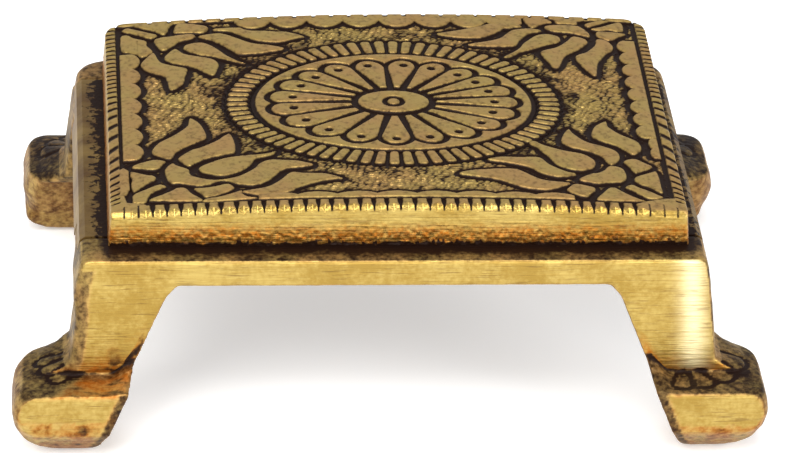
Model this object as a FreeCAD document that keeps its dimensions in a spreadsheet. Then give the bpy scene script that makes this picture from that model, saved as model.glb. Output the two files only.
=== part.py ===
import FreeCAD, Part
import math
import os
import Sketcher

# Low brass ceremonial table. A crowned, carved top plate sits on a ring frame.
# The ring is two cast arches, each a bar with two legs and paw feet, joined by two side rails.
# X runs left to right, Y front to rear, Z up from the floor. Millimetres.

Vector = FreeCAD.Vector

# Driving sizes: alias, value in millimetres, what it is
SIZES = (
    ("foot_half_span", 73.2, "centre to the outermost toe, sideways"),
    ("foot_half_length", 54.3, "centre to the toes, front and rear"),
    ("foot_spread", 13.2, "frame's side to the outermost toe"),
    ("toe_reach", 7.5, "frame's front face to the front toes"),
    ("rear_toe_reach", 16.1, "frame's rear edge to the rear toes"),
    ("rear_skew", 2.3, "how much further the plate's rear edge lies on its right"),
    ("side_ledge", 4.6, "mean ledge beside the plate"),
    ("front_ledge", 5.6, "ledge in front of the plate"),
    ("rear_ledge", 0.7, "ledge behind the plate, left"),
    ("frame_top", 41.2, "floor to the ledge that carries the plate"),
    ("frame_thickness", 5.75, "height of the bars and rails"),
    ("side_run_out", 1.1, "how far the frame's sides run out by their lower edge"),
    ("edge_ease", 0.9, "worn outer edge of the ledge"),
    ("bar_depth", 13.0, "front to back depth of each arch's bar"),
    ("rail_width", 13.0, "width of each side rail"),
    ("front_corner_radius", 2.3, "frame corners beside the filed face"),
    ("rear_corner_radius", 6.5, "frame corners at the rear"),
    ("seam_inset", 9.7, "frame edge to the seam between arch and rail"),
    ("lap_length", 10.8, "length of each half lap"),
    ("lap_gap", 0.1, "clearance at the ends of a lap"),
    ("ankle_height", 24.0, "floor to the ankle, where the toes begin to swell"),
    ("ankle_spread", 3.2, "frame's side to the leg's outer side at the ankle"),
    ("leg_top_width", 17.3, "frame's side to a leg's inner face, under the frame"),
    ("leg_foot_width", 2.9, "frame's side to a leg's inner face, at the floor"),
    ("leg_top_depth", 15.1, "frame's front or rear to a leg's inner face, under the frame"),
    ("front_foot_depth", 8.3, "frame's front to the front legs' inner faces at the floor"),
    ("rear_foot_rake", 1.1, "frame's rear out to the rear legs' inner faces at the floor"),
    ("arch_radius", 5.0, "fillet between legs and frame"),
    ("toe_shelf_drop", 5.8, "ankle down to the foot of the filed leg face"),
    ("filing_stock", 0.8, "metal that the file took off the front faces"),
    ("toe_stock", 1.5, "metal that the file took off the front toes"),
    ("leg_corner_radius", 2.3, "rounding down the outer corner of a leg"),
    ("toe_corner_radius", 4.4, "rounding of a toe's outer front corner"),
    ("heel_corner_radius", 6.0, "rounding of a toe's outer back corner"),
    ("inner_corner_radius", 1.6, "rounding of a leg's inner corners"),
    ("sole_tuck", 1.9, "how far the sole is drawn in under the leg's inner side"),
    ("plate_offset", 1.1, "how far right of the frame's centre the plate sits"),
    ("plate_front_height", 7.0, "plate height at its front corners"),
    ("plate_rear_height", 8.05, "plate height at its rear corners"),
    ("crown", 1.9, "rise of the top from its sides to its middle"),
    ("plate_run_out", 0.5, "how far the plate widens to its lower edge"),
    ("plate_front_radius", 0.8, "plate corners beside the filed face"),
    ("plate_rear_radius", 4.5, "plate corners at the rear"),
    ("plate_wall", 4.0, "rim of the plate around its hollow underside"),
    ("hollow_depth", 3.2, "depth of the hollow under the plate"),
    ("relief_depth", 0.5, "depth of the sunk ground"),
    ("side_border", 7.2, "raised border at the sides"),
    ("front_border", 5.6, "raised border at the front"),
    ("rear_border", 3.6, "raised border at the rear"),
    ("rosette_shift_right", 1.3, "rosette centre from the plate's centre"),
    ("rosette_rear", 0.9, "rosette centre, rearward of the frame's centre"),
    ("rosette_side_space", 22.1, "plate's sides to the rope ring"),
    ("rosette_front_space", 15.6, "plate's front to the rope ring, were it centred"),
    ("rope_ring_width", 4.6, "width of the beaded ring"),
    ("groove_width", 1.0, "groove inside the beaded ring"),
    ("petal_band_width", 1.4, "plain band between that groove and the petals"),
    ("petal_outline", 0.75, "groove around the petals' tips"),
    ("petal_gap", 1.0, "groove between two petals"),
    ("eye_half_width", 7.1, "middle of the rosette, half width"),
    ("eye_half_depth", 4.4, "middle of the rosette, half depth"),
    ("eye_moat", 1.3, "groove around the rosette's middle"),
    ("pupil_radius", 1.2, "dot in the rosette's middle"),
    ("pupil_groove", 1.1, "groove around that dot"),
    ("side_line_inset", 2.3, "plate's sides to the lines cut along them"),
    ("front_line_inset", 3.0, "plate's front to the line cut along it"),
    ("border_line_width", 0.9, "width of the lines cut into the border"),
    ("boss_diameter", 6.4, "screw bosses under the plate"),
    ("plate_screw_side", 21.4, "plate's sides to its screws"),
    ("plate_screw_inset", 3.8, "plate edge to its screws"),
    ("plate_screw_diameter", 3.0, "plate screw shank"),
    ("plate_screw_head", 5.4, "plate screw head diameter"),
    ("plate_screw_head_height", 1.8, "plate screw head height"),
    ("plate_screw_bite", 4.0, "depth of the screw in its boss"),
    ("corner_screw_inset", 4.0, "rail's inner side to its corner screws"),
    ("corner_screw_diameter", 2.5, "corner screw shank"),
    ("corner_screw_head", 4.4, "corner screw head diameter"),
    ("corner_screw_head_height", 1.3, "corner screw head height"),
    ("corner_screw_bite", 2.2, "depth of the corner screw in the arch"),
    ("hole_clearance", 0.1, "gap around a screw, on the radius"),
    ("slot_width", 0.6, "screwdriver slot"),
    ("slot_depth", 0.5, "depth of the slot"),
    ("overrun", 6.0, "how far a cutting shape runs past what it cuts"),
)

# Sizes that follow from the driving ones: alias, formula, what it is
FOLLOWING_SIZES = (
    ("frame_half_width", "foot_half_span - foot_spread", "centre to the frame's side at its top"),
    ("frame_front", "foot_half_length - toe_reach", "centre to the frame's filed front face"),
    ("frame_rear", "foot_half_length - rear_toe_reach", "centre to the frame's rear edge"),
    ("eased_side", "frame_half_width + side_run_out * edge_ease / frame_thickness", "frame's side"),
    ("plate_half_width", "frame_half_width - side_ledge", "centre of the plate to its sides"),
    ("plate_front", "frame_front - front_ledge", "centre to the plate's front face"),
    ("plate_rear_left", "frame_rear - rear_ledge", "centre to the plate's rear edge, left"),
    ("plate_rear_right", "plate_rear_left + rear_skew", "centre to the plate's rear edge, right"),
    ("rosette_half_width", "plate_half_width - rosette_side_space", "rope ring, outer half width"),
    ("rosette_half_depth", "plate_front - rosette_front_space", "rope ring, outer half depth"),
    ("ankle_half_width", "frame_half_width + ankle_spread", "centre to a leg's side at the ankle"),
    ("toe_before_filing", "foot_half_length + toe_stock", "how far the front toes reached as cast"),
    ("toe_shelf_height", "ankle_height - toe_shelf_drop", "floor to the foot of the filed leg face"),
    ("inner_top_span", "frame_half_width - leg_top_width", "legs' inner faces under the frame"),
    ("inner_floor_span", "frame_half_width - leg_foot_width", "legs' inner faces at the floor"),
    ("inner_top_front", "frame_front - leg_top_depth", "front legs' inner faces under the frame"),
    ("inner_floor_front", "frame_front - front_foot_depth", "front legs' inner faces at the floor"),
    ("inner_top_rear", "frame_rear - leg_top_depth", "rear legs' inner faces under the frame"),
    ("inner_floor_rear", "frame_rear + rear_foot_rake", "rear legs' inner faces at the floor"),
    ("plate_screw_span", "plate_half_width - plate_screw_side", "centre to the plate screws"),
    ("rail_inner_side", "frame_half_width - rail_width", "centre to the rails' inner sides"),
    ("corner_screw_span", "rail_inner_side + corner_screw_inset", "centre to the corner screws"),
)

# Shares of the ankle's height, of the way out to the side, and of the way out to the toe's end.
FRONT_FOOT_SHARES = (
    (0.0, 0.08, -0.03),
    (0.04, 0.40, 0.16),
    (0.10, 0.62, 0.36),
    (0.17, 0.78, 0.53),
    (0.23, 0.88, 0.69),
    (0.31, 0.95, 0.86),
    (0.44, 1.00, 0.98),
    (0.52, 0.97, 1.00),
    (0.60, 0.92, 0.94),
    (0.66, 0.86, 0.83),
    (0.70, 0.79, 0.46),
    (0.74, 0.70, 0.12),
    (0.80, 0.56, 0.06),
    (0.86, 0.38, 0.03),
    (0.92, 0.14, 0.01),
    (1.0, 0.0, 0.0),
)
REAR_FOOT_SHARES = (
    (0.0, 0.08, 0.10),
    (0.04, 0.40, 0.30),
    (0.10, 0.62, 0.52),
    (0.17, 0.78, 0.68),
    (0.23, 0.88, 0.80),
    (0.31, 0.95, 0.92),
    (0.44, 1.00, 1.00),
    (0.52, 0.97, 0.98),
    (0.60, 0.92, 0.93),
    (0.66, 0.86, 0.86),
    (0.70, 0.79, 0.77),
    (0.74, 0.70, 0.66),
    (0.80, 0.56, 0.48),
    (0.86, 0.38, 0.28),
    (0.92, 0.14, 0.10),
    (1.0, 0.0, 0.0),
)
# A corner's leaves: root, inner side, tip and outer side, as shares of the way from the sunk
# field's middle to its side and to its front or rear.
LEAF_SHARES = (
    ((0.93, 0.52), (0.753, 0.318), (0.815, 0.10), (0.886, 0.278)),
    ((0.832, 0.635), (0.689, 0.54), (0.658, 0.301), (0.745, 0.41)),
    ((0.793, 0.692), (0.658, 0.563), (0.473, 0.508), (0.622, 0.729)),
    ((0.921, 0.666), (0.834, 0.738), (0.768, 0.86), (0.886, 0.833)),
    ((0.72, 0.836), (0.533, 0.65), (0.33, 0.672), (0.57, 0.875)),
    ((0.622, 0.967), (0.43, 0.781), (0.218, 0.836), (0.44, 0.983)),
)
PETAL_COUNT = 20
# Shares of the ankle's height over which the sole is tucked in.
TUCK_SHARE = 0.06
# Between these shares of the ankle's height the foot has a toe's rounder corners.
TOE_START_SHARE = 0.2
TOE_END_SHARE = 0.86
HALF = 0.5
QUARTER_TURN = 90.0
HALF_TURN = 180.0
FULL_TURN = 360.0

doc = FreeCAD.newDocument("BajotTable")
sheet = doc.addObject("Spreadsheet::Sheet", "sizes")
for row, (alias, value, meaning) in enumerate(SIZES, start=1):
    sheet.set(f"A{row}", meaning)
    sheet.set(f"B{row}", str(value))
    sheet.setAlias(f"B{row}", alias)
for row, (alias, formula, meaning) in enumerate(FOLLOWING_SIZES, start=len(SIZES) + 1):
    sheet.set(f"A{row}", meaning)
    sheet.set(f"B{row}", f"={formula}")
    sheet.setAlias(f"B{row}", alias)
doc.recompute()


def size(alias):
    """Reads one driving size."""
    return float(sheet.get(alias))


frame_bottom = size("frame_top") - size("frame_thickness")
lap_height = size("frame_top") - size("frame_thickness") * HALF


# Outlines
def rounded_wire(corners, radii, height):
    """A level closed outline through the corners, each rounded by its own radius."""
    points = [Vector(x, y, height) for x, y in corners]
    stretches = []
    for index, corner in enumerate(points):
        towards_last = (points[index - 1] - corner).normalize()
        towards_next = (points[(index + 1) % len(points)] - corner).normalize()
        half_angle = towards_last.getAngle(towards_next) * HALF
        reach = radii[index] / math.tan(half_angle)
        middle = (towards_last + towards_next).normalize()
        depth = radii[index] / math.sin(half_angle) - radii[index]
        start = corner + towards_last * reach
        end = corner + towards_next * reach
        stretches.append((start, corner + middle * depth, end))
    edges = []
    for index, (start, middle, end) in enumerate(stretches):
        edges.append(Part.Arc(start, middle, end).toShape())
        edges.append(Part.LineSegment(end, stretches[(index + 1) % len(stretches)][0]).toShape())
    return Part.Wire(edges)


def box_between(x_limits, y_limits, z_limits):
    """A box between two places along each axis."""
    low = [min(limits) for limits in (x_limits, y_limits, z_limits)]
    high = [max(limits) for limits in (x_limits, y_limits, z_limits)]
    spans = [top - bottom for bottom, top in zip(low, high)]
    return Part.makeBox(spans[0], spans[1], spans[2], Vector(*low))


def standing_cylinder(diameter, x, y, bottom, top):
    """An upright round bar."""
    return Part.makeCylinder(diameter * HALF, top - bottom, Vector(x, y, bottom))


# The ring frame, before it is parted into arches and rails
def ring_outline(grow, height):
    """The frame's outer outline, grown sideways and to the rear."""
    side = size("frame_half_width") + grow
    front = -size("frame_front") - size("filing_stock")
    rear = size("frame_rear") + grow
    corners = ((-side, front), (side, front), (side, rear), (-side, rear))
    front_radius = size("front_corner_radius")
    rear_radius = size("rear_corner_radius")
    return rounded_wire(corners, (front_radius, front_radius, rear_radius, rear_radius), height)


def ring_solid():
    """The frame's slab, flared to its lower edge, with its ledge's edge eased and its middle open."""
    flare_at_ease = size("eased_side") - size("frame_half_width")
    outlines = [
        ring_outline(size("side_run_out"), frame_bottom),
        ring_outline(flare_at_ease, size("frame_top") - size("edge_ease")),
        ring_outline(-size("edge_ease"), size("frame_top")),
    ]
    slab = Part.makeLoft(outlines, True, True)
    inner_side = size("rail_inner_side")
    opening = box_between(
        (-inner_side, inner_side),
        (-size("frame_front") + size("bar_depth"), size("frame_rear") - size("bar_depth")),
        (frame_bottom - size("overrun"), size("frame_top") + size("overrun")),
    )
    return slab.cut(opening)


def opening_prism(floor_left, floor_right, top_left, top_right, along_x):
    """The space between two legs: slanted sides, filleted at the top, run right through."""
    low = -size("overrun")
    slope_left = (floor_left - top_left) / frame_bottom
    slope_right = (floor_right - top_right) / frame_bottom
    corners = (
        (floor_left - slope_left * low, low),
        (floor_right - slope_right * low, low),
        (top_right, frame_bottom),
        (top_left, frame_bottom),
    )
    square = size("edge_ease")
    outline = rounded_wire(corners, (square, square, size("arch_radius"), size("arch_radius")), 0)
    reach = size("foot_half_span") + size("overrun")
    face = Part.Face(outline)
    face.rotate(Vector(), Vector(1, 0, 0), QUARTER_TURN)
    if along_x:
        face.rotate(Vector(), Vector(0, 0, 1), QUARTER_TURN)
        face.translate(Vector(-reach, 0, 0))
        return face.extrude(Vector(2 * reach, 0, 0))
    face.translate(Vector(0, -reach, 0))
    return face.extrude(Vector(0, 2 * reach, 0))


def front_gap():
    """The arch between left and right legs."""
    floor = size("inner_floor_span")
    top = size("inner_top_span")
    return opening_prism(-floor, floor, -top, top, False)


def side_gap():
    """The arch between front and rear legs."""
    return opening_prism(
        -size("inner_floor_front"),
        size("inner_floor_rear"),
        -size("inner_top_front"),
        size("inner_top_rear"),
        True,
    )


# Legs
def blend(start, end, share):
    """A value between two others."""
    return start + (end - start) * share


def leg_sections(side, end):
    """Level outlines of one leg and foot, floor to frame. side is -1 at the left, end -1 in front."""
    at_front = end < 0
    shares = FRONT_FOOT_SHARES if at_front else REAR_FOOT_SHARES
    toe_end = size("toe_before_filing") if at_front else size("foot_half_length")
    outer_top = size("frame_front") + size("filing_stock") if at_front else size("frame_rear")
    inner_floor = size("inner_floor_front") if at_front else size("inner_floor_rear")
    inner_top = size("inner_top_front") if at_front else size("inner_top_rear")
    ankle = size("ankle_height")
    levels = [(share * ankle, out, reach) for share, out, reach in shares]
    levels.append((frame_bottom, 0.0, 0.0))
    wires = []
    for height, out, reach in levels:
        up = height / frame_bottom
        above_ankle = max(0.0, height - ankle) / (frame_bottom - ankle)
        side_top = size("frame_half_width") + size("side_run_out")
        leg_side = blend(size("ankle_half_width"), side_top, above_ankle)
        rear_top = size("frame_rear") + size("side_run_out")
        leg_end = outer_top if at_front else blend(size("frame_front"), rear_top, up)
        outer_x = blend(leg_side, size("foot_half_span"), out)
        outer_y = blend(leg_end, toe_end, reach)
        tuck = max(0.0, 1 - height / (TUCK_SHARE * ankle)) * size("sole_tuck")
        spare = size("edge_ease") if height > 0 else 0.0
        inner_x = blend(size("inner_floor_span"), size("inner_top_span"), up) + tuck - spare
        inner_y = blend(inner_floor, inner_top, up) + tuck - spare
        corners = (
            (side * inner_x, end * inner_y),
            (side * outer_x, end * inner_y),
            (side * outer_x, end * outer_y),
            (side * inner_x, end * outer_y),
        )
        share = height / ankle
        in_toe = TOE_START_SHARE <= share <= TOE_END_SHARE
        heel = size("heel_corner_radius") if in_toe else size("leg_corner_radius")
        toe = size("toe_corner_radius") if in_toe else size("leg_corner_radius")
        inner = size("inner_corner_radius")
        wires.append(rounded_wire(corners, (inner, heel, toe, inner), height))
    return wires


def leg_solid(side, end):
    """One leg with its paw foot, and the web that fills its corner under the frame."""
    leg = Part.makeLoft(leg_sections(side, end), True, True)
    at_front = end < 0
    outer_y = size("frame_front") if at_front else size("frame_rear") - size("rear_corner_radius")
    inner_y = size("inner_top_front") if at_front else size("inner_top_rear")
    web_inner_y = inner_y - size("arch_radius")
    web_outer_x = size("frame_half_width") - size("leg_corner_radius")
    web = box_between(
        (side * (size("inner_top_span") - size("arch_radius")), side * web_outer_x),
        (end * web_inner_y, end * (outer_y - size("leg_corner_radius"))),
        (frame_bottom - size("arch_radius"), frame_bottom),
    )
    return leg.fuse(web)


# Arches
def lap_zone(end):
    """The part of the ring that belongs to one arch: its bar, and its half of each lap."""
    side = size("frame_half_width") + size("overrun")
    edge = size("frame_front") if end < 0 else size("frame_rear")
    far = edge + size("overrun")
    seam = edge - size("seam_inset")
    inner_side = size("rail_inner_side")
    bar_zone = box_between(
        (-inner_side, inner_side),
        (end * (edge - size("bar_depth")), end * far),
        (frame_bottom, size("frame_top")),
    )
    corner_zone = box_between((-side, side), (end * seam, end * far), (frame_bottom, size("frame_top")))
    lap = box_between(
        (-side, side),
        (end * (seam - size("lap_length")), end * far),
        (frame_bottom, lap_height),
    )
    return bar_zone.fuse([corner_zone, lap])


def screw_places(end):
    """Centres of the two plate screws of one arch."""
    plate_edge = size("plate_front") if end < 0 else min(size("plate_rear_left"), size("plate_rear_right"))
    y = end * (plate_edge - size("plate_screw_inset"))
    return [(side * size("plate_screw_span"), y) for side in (-1, 1)]


def corner_screw_place(side, end):
    """Centre of one corner screw, in the middle of its lap."""
    edge = size("frame_front") if end < 0 else size("frame_rear")
    y = edge - size("seam_inset") - size("lap_length") * HALF
    return side * size("corner_screw_span"), end * y


def arch_solid(end):
    """One arch, as cast, then filed flat in front and drilled."""
    body = ring_solid().common(lap_zone(end))
    body = body.fuse([leg_solid(-1, end), leg_solid(1, end)])
    body = body.cut(front_gap()).cut(side_gap())
    top = size("frame_top")
    if end < 0:
        wide = size("foot_half_span") + size("overrun")
        far = size("toe_before_filing") + size("overrun")
        face_file = box_between(
            (-wide, wide),
            (-far, -size("frame_front")),
            (size("toe_shelf_height"), top + size("overrun")),
        )
        toe_file = box_between((-wide, wide), (-far, -size("foot_half_length")), (0, top))
        body = body.cut(face_file).cut(toe_file)
    clearance = 2 * size("hole_clearance")
    for x, y in screw_places(end):
        shank = standing_cylinder(
            size("plate_screw_diameter") + clearance,
            x,
            y,
            frame_bottom - size("overrun"),
            top + size("overrun"),
        )
        head = standing_cylinder(
            size("plate_screw_head") + clearance,
            x,
            y,
            frame_bottom - size("overrun"),
            frame_bottom + size("plate_screw_head_height"),
        )
        body = body.cut(shank).cut(head)
    for side in (-1, 1):
        x, y = corner_screw_place(side, end)
        hole = standing_cylinder(
            size("corner_screw_diameter") + clearance,
            x,
            y,
            lap_height - size("corner_screw_bite") - size("hole_clearance"),
            top,
        )
        body = body.cut(hole)
    return body.removeSplitter()


# Top plate
def plate_outline(grow, height):
    """The plate's outline, grown on all sides."""
    left = size("plate_offset") - size("plate_half_width") - grow
    right = size("plate_offset") + size("plate_half_width") + grow
    corners = (
        (left, -size("plate_front")),
        (right, -size("plate_front")),
        (right, size("plate_rear_right") + grow),
        (left, size("plate_rear_left") + grow),
    )
    front = size("plate_front_radius")
    rear = size("plate_rear_radius")
    return rounded_wire(corners, (front, front, rear, rear), height)


def crown_height(y):
    """Height of the plate's sides above the ledge at a place front to rear."""
    rear = (size("plate_rear_left") + size("plate_rear_right")) * HALF
    share = (y + size("plate_front")) / (rear + size("plate_front"))
    return blend(size("plate_front_height"), size("plate_rear_height"), share)


def crowned_solid(lowered):
    """Everything from under the ledge to the crowned top, lowered by a depth."""
    half = size("plate_half_width")
    radius = (half**2 + size("crown") ** 2) / (2 * size("crown"))
    reach = half + size("overrun")
    drop = radius - math.sqrt(radius**2 - reach**2)
    centre = size("plate_offset")
    front = -size("plate_front") - size("overrun")
    rear = size("plate_rear_right") + size("overrun")
    rise = crown_height(rear) - crown_height(front)
    ridge = size("frame_top") + crown_height(front) + size("crown") - lowered
    bottom = size("frame_top") - size("overrun") - abs(rise)
    low_left = Vector(centre - reach, front, bottom)
    low_right = Vector(centre + reach, front, bottom)
    high_left = Vector(centre - reach, front, ridge - drop)
    high_right = Vector(centre + reach, front, ridge - drop)
    top_middle = Vector(centre, front, ridge)
    edges = [
        Part.LineSegment(low_left, low_right).toShape(),
        Part.LineSegment(low_right, high_right).toShape(),
        Part.Arc(high_right, top_middle, high_left).toShape(),
        Part.LineSegment(high_left, low_left).toShape(),
    ]
    block = Part.Face(Part.Wire(edges)).extrude(Vector(0, rear - front, 0))
    tilt = math.degrees(math.atan2(rise, rear - front))
    block.rotate(top_middle, Vector(1, 0, 0), tilt)
    return block


def rosette_middle():
    """The rosette's centre, level with the plate's foot."""
    middle_x = size("plate_offset") + size("rosette_shift_right")
    return Vector(middle_x, size("rosette_rear"), size("frame_top"))


def oval_face(wide, deep):
    """A level oval around the rosette's centre, from its half width and half depth."""
    centre = rosette_middle()
    across = centre + Vector(wide, 0, 0)
    along = centre + Vector(0, deep, 0)
    longer, shorter = (across, along) if wide >= deep else (along, across)
    edge = Part.Ellipse(longer, shorter, centre).toShape()
    return Part.Face(Part.Wire([edge]))


def ring_face(shrink):
    """The bead ring's outer oval, drawn in by a width."""
    return oval_face(size("rosette_half_width") - shrink, size("rosette_half_depth") - shrink)


def level_face(corners):
    """A level face between corners, at the plate's foot."""
    places = [Vector(x, y, size("frame_top")) for x, y in corners]
    return Part.Face(Part.makePolygon([*places, places[0]]))


def level_box(x_limits, y_limits):
    """A level rectangle at the plate's foot."""
    left, right = x_limits
    front, rear = y_limits
    return level_face(((left, front), (right, front), (right, rear), (left, rear)))


def field_limits():
    """The sunk field's left and right, then its front and rear."""
    left = size("plate_offset") - size("plate_half_width") + size("side_border")
    right = size("plate_offset") + size("plate_half_width") - size("side_border")
    rear = min(size("plate_rear_left"), size("plate_rear_right")) - size("rear_border")
    return (left, right), (-size("plate_front") + size("front_border"), rear)


def leaf_faces():
    """The leaves that stand in the field's four corners, each between two arcs."""
    (left, right), (front, rear) = field_limits()
    middle = Vector((left + right) * HALF, (front + rear) * HALF, size("frame_top"))
    faces = []
    for to_side in (-1, 1):
        for to_rear in (-1, 1):
            half = Vector(to_side * (right - left) * HALF, to_rear * (rear - front) * HALF, 0)
            for shares in LEAF_SHARES:
                places = [middle + Vector(half.x * across, half.y * along, 0) for across, along in shares]
                root, inner_side, tip, outer_side = places
                arcs = [
                    Part.Arc(root, inner_side, tip).toShape(),
                    Part.Arc(tip, outer_side, root).toShape(),
                ]
                faces.append(Part.Face(Part.Wire(arcs)))
    return faces


def petal_grooves():
    """The grooves between the rosette's petals, and around their tips, the eye and its pupil."""
    tip_shrink = size("rope_ring_width") + size("groove_width") + size("petal_band_width")
    tips = ring_face(tip_shrink).cut(ring_face(tip_shrink + size("petal_outline")))
    eye_wide = size("eye_half_width")
    eye_deep = size("eye_half_depth")
    moat = oval_face(eye_wide + size("eye_moat"), eye_deep + size("eye_moat"))
    moat = moat.cut(oval_face(eye_wide, eye_deep))
    dot = size("pupil_radius")
    ring = dot + size("pupil_groove")
    grooves = [tips, moat, oval_face(ring, ring).cut(oval_face(dot, dot))]
    middle = rosette_middle()
    start = size("eye_moat") * HALF
    end = tip_shrink + size("petal_outline") * HALF
    for index in range(PETAL_COUNT):
        turn = math.radians(FULL_TURN * (index + HALF) / PETAL_COUNT - QUARTER_TURN)
        inner_x = middle.x + (eye_wide + start) * math.cos(turn)
        inner_y = middle.y + (eye_deep + start) * math.sin(turn)
        outer_x = middle.x + (size("rosette_half_width") - end) * math.cos(turn)
        outer_y = middle.y + (size("rosette_half_depth") - end) * math.sin(turn)
        share = size("petal_gap") * HALF / math.hypot(outer_x - inner_x, outer_y - inner_y)
        aside_x = (inner_y - outer_y) * share
        aside_y = (outer_x - inner_x) * share
        corners = (
            (inner_x - aside_x, inner_y - aside_y),
            (outer_x - aside_x, outer_y - aside_y),
            (outer_x + aside_x, outer_y + aside_y),
            (inner_x + aside_x, inner_y + aside_y),
        )
        grooves.append(level_face(corners))
    return grooves


def border_lines():
    """The lines cut into the border at its two sides and its front."""
    (left, right), (front, rear) = field_limits()
    near = size("side_line_inset")
    far = near + size("border_line_width")
    plate_left = size("plate_offset") - size("plate_half_width")
    plate_right = size("plate_offset") + size("plate_half_width")
    front_near = -size("plate_front") + size("front_line_inset")
    return [
        level_box((plate_left + near, plate_left + far), (front, rear)),
        level_box((plate_right - far, plate_right - near), (front, rear)),
        level_box((left, right), (front_near, front_near + size("border_line_width"))),
    ]


def ground_cutter():
    """What is sunk below the crowned top: the ground between the leaves, and the grooves and lines."""
    ground = level_box(*field_limits()).cut([ring_face(0), *leaf_faces()])
    ring_inside = size("rope_ring_width") + size("groove_width")
    groove = ring_face(size("rope_ring_width")).cut(ring_face(ring_inside))
    sunk = ground.fuse([groove, *petal_grooves(), *border_lines()]).removeSplitter()
    tall = size("plate_rear_height") + size("overrun")
    return sunk.extrude(Vector(0, 0, tall)).cut(crowned_solid(size("relief_depth")))


def plate_solid():
    """The carved plate with its sunk ground, hollow underside and four screw bosses."""
    bottom = size("frame_top")
    tall = size("plate_rear_height") + size("crown") + size("overrun")
    sides = Part.makeLoft(
        [
            plate_outline(size("plate_run_out"), bottom),
            plate_outline(size("plate_run_out") * (1 - tall / size("plate_front_height")), bottom + tall),
        ],
        True,
        True,
    )
    body = crowned_solid(0).common(sides).cut(ground_cutter())
    hollow_face = Part.Face(plate_outline(0, bottom)).makeOffset2D(-size("plate_wall"))
    hollow = hollow_face.extrude(Vector(0, 0, size("hollow_depth")))
    bosses = []
    for end in (-1, 1):
        for x, y in screw_places(end):
            boss_top = bottom + size("hollow_depth")
            bosses.append(standing_cylinder(size("boss_diameter"), x, y, bottom, boss_top))
    body = body.cut(hollow.cut(bosses))
    clearance = 2 * size("hole_clearance")
    for end in (-1, 1):
        for x, y in screw_places(end):
            hole = standing_cylinder(
                size("plate_screw_diameter") + clearance,
                x,
                y,
                bottom - size("overrun"),
                bottom + size("plate_screw_bite") + size("hole_clearance"),
            )
            body = body.cut(hole)
    return body.removeSplitter()


# Sketched pieces
# A sketch's own numbers for its axes and origin, and for the points of a line or circle
UPRIGHT_AXIS_INDEX = -2
LEVEL_AXIS_INDEX = -1
ORIGIN = (-1, 1)
START_INDEX = 1
END_INDEX = 2
CENTRE_INDEX = 3
# What a dimension or shape measures until its expression sets it
UNSET = 1.0


def origin_plane(body, role):
    """One of a body's own origin planes."""
    return next(feature for feature in body.Origin.OriginFeatures if feature.Role == role)


def new_sketch(body, name, role, offset):
    """A sketch on an origin plane, moved along the plane's normal by an expression."""
    sketch = body.newObject("Sketcher::SketchObject", name)
    sketch.AttachmentSupport = [(origin_plane(body, role), "")]
    sketch.MapMode = "FlatFace"
    sketch.setExpression("AttachmentOffset.Base.z", offset)
    return sketch


def bind(sketch, kind, places, expression):
    """A dimension held by an expression."""
    index = sketch.addConstraint(Sketcher.Constraint(kind, *places, UNSET))
    sketch.setExpression(f"Constraints[{index}]", expression)


def draw_polygon(sketch, corners):
    """A closed outline whose corners are pairs of expressions; None holds a corner on that axis."""
    count = len(corners)
    guess = [(math.cos(2 * math.pi * i / count), math.sin(2 * math.pi * i / count)) for i in range(count)]
    for index in range(count):
        start = Vector(*guess[index], 0)
        end = Vector(*guess[(index + 1) % count], 0)
        sketch.addGeometry(Part.LineSegment(start, end))
    for index in range(count):
        joined = (index, END_INDEX, (index + 1) % count, START_INDEX)
        sketch.addConstraint(Sketcher.Constraint("Coincident", *joined))
    for index, (across, up) in enumerate(corners):
        if across is None:
            held = (index, START_INDEX, UPRIGHT_AXIS_INDEX)
            sketch.addConstraint(Sketcher.Constraint("PointOnObject", *held))
        else:
            bind(sketch, "DistanceX", (*ORIGIN, index, START_INDEX), across)
        if up is None:
            held = (index, START_INDEX, LEVEL_AXIS_INDEX)
            sketch.addConstraint(Sketcher.Constraint("PointOnObject", *held))
        else:
            bind(sketch, "DistanceY", (*ORIGIN, index, START_INDEX), up)


def draw_circle(sketch, diameter, across, up):
    """A circle placed and sized by expressions."""
    index = sketch.addGeometry(Part.Circle(Vector(UNSET, UNSET, 0), Vector(0, 0, 1), UNSET))
    bind(sketch, "Diameter", (index,), diameter)
    bind(sketch, "DistanceX", (*ORIGIN, index, CENTRE_INDEX), across)
    bind(sketch, "DistanceY", (*ORIGIN, index, CENTRE_INDEX), up)


def pad(body, name, sketch, length, reverse=False):
    """A pad whose length is an expression."""
    feature = body.newObject("PartDesign::Pad", name)
    feature.Profile = sketch
    feature.setExpression("Length", length)
    feature.Reversed = reverse
    return feature


def pocket(body, name, sketch, depth, reverse=False):
    """A pocket whose depth is an expression."""
    feature = body.newObject("PartDesign::Pocket", name)
    feature.Profile = sketch
    feature.setExpression("Length", depth)
    feature.Reversed = reverse
    return feature


FRAME_BOTTOM = "(sizes.frame_top - sizes.frame_thickness)"
LAP_HEIGHT = "(sizes.frame_top - sizes.frame_thickness / 2)"
FRONT_SEAM = "(sizes.frame_front - sizes.seam_inset)"
REAR_SEAM = "(sizes.frame_rear - sizes.seam_inset)"


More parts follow.
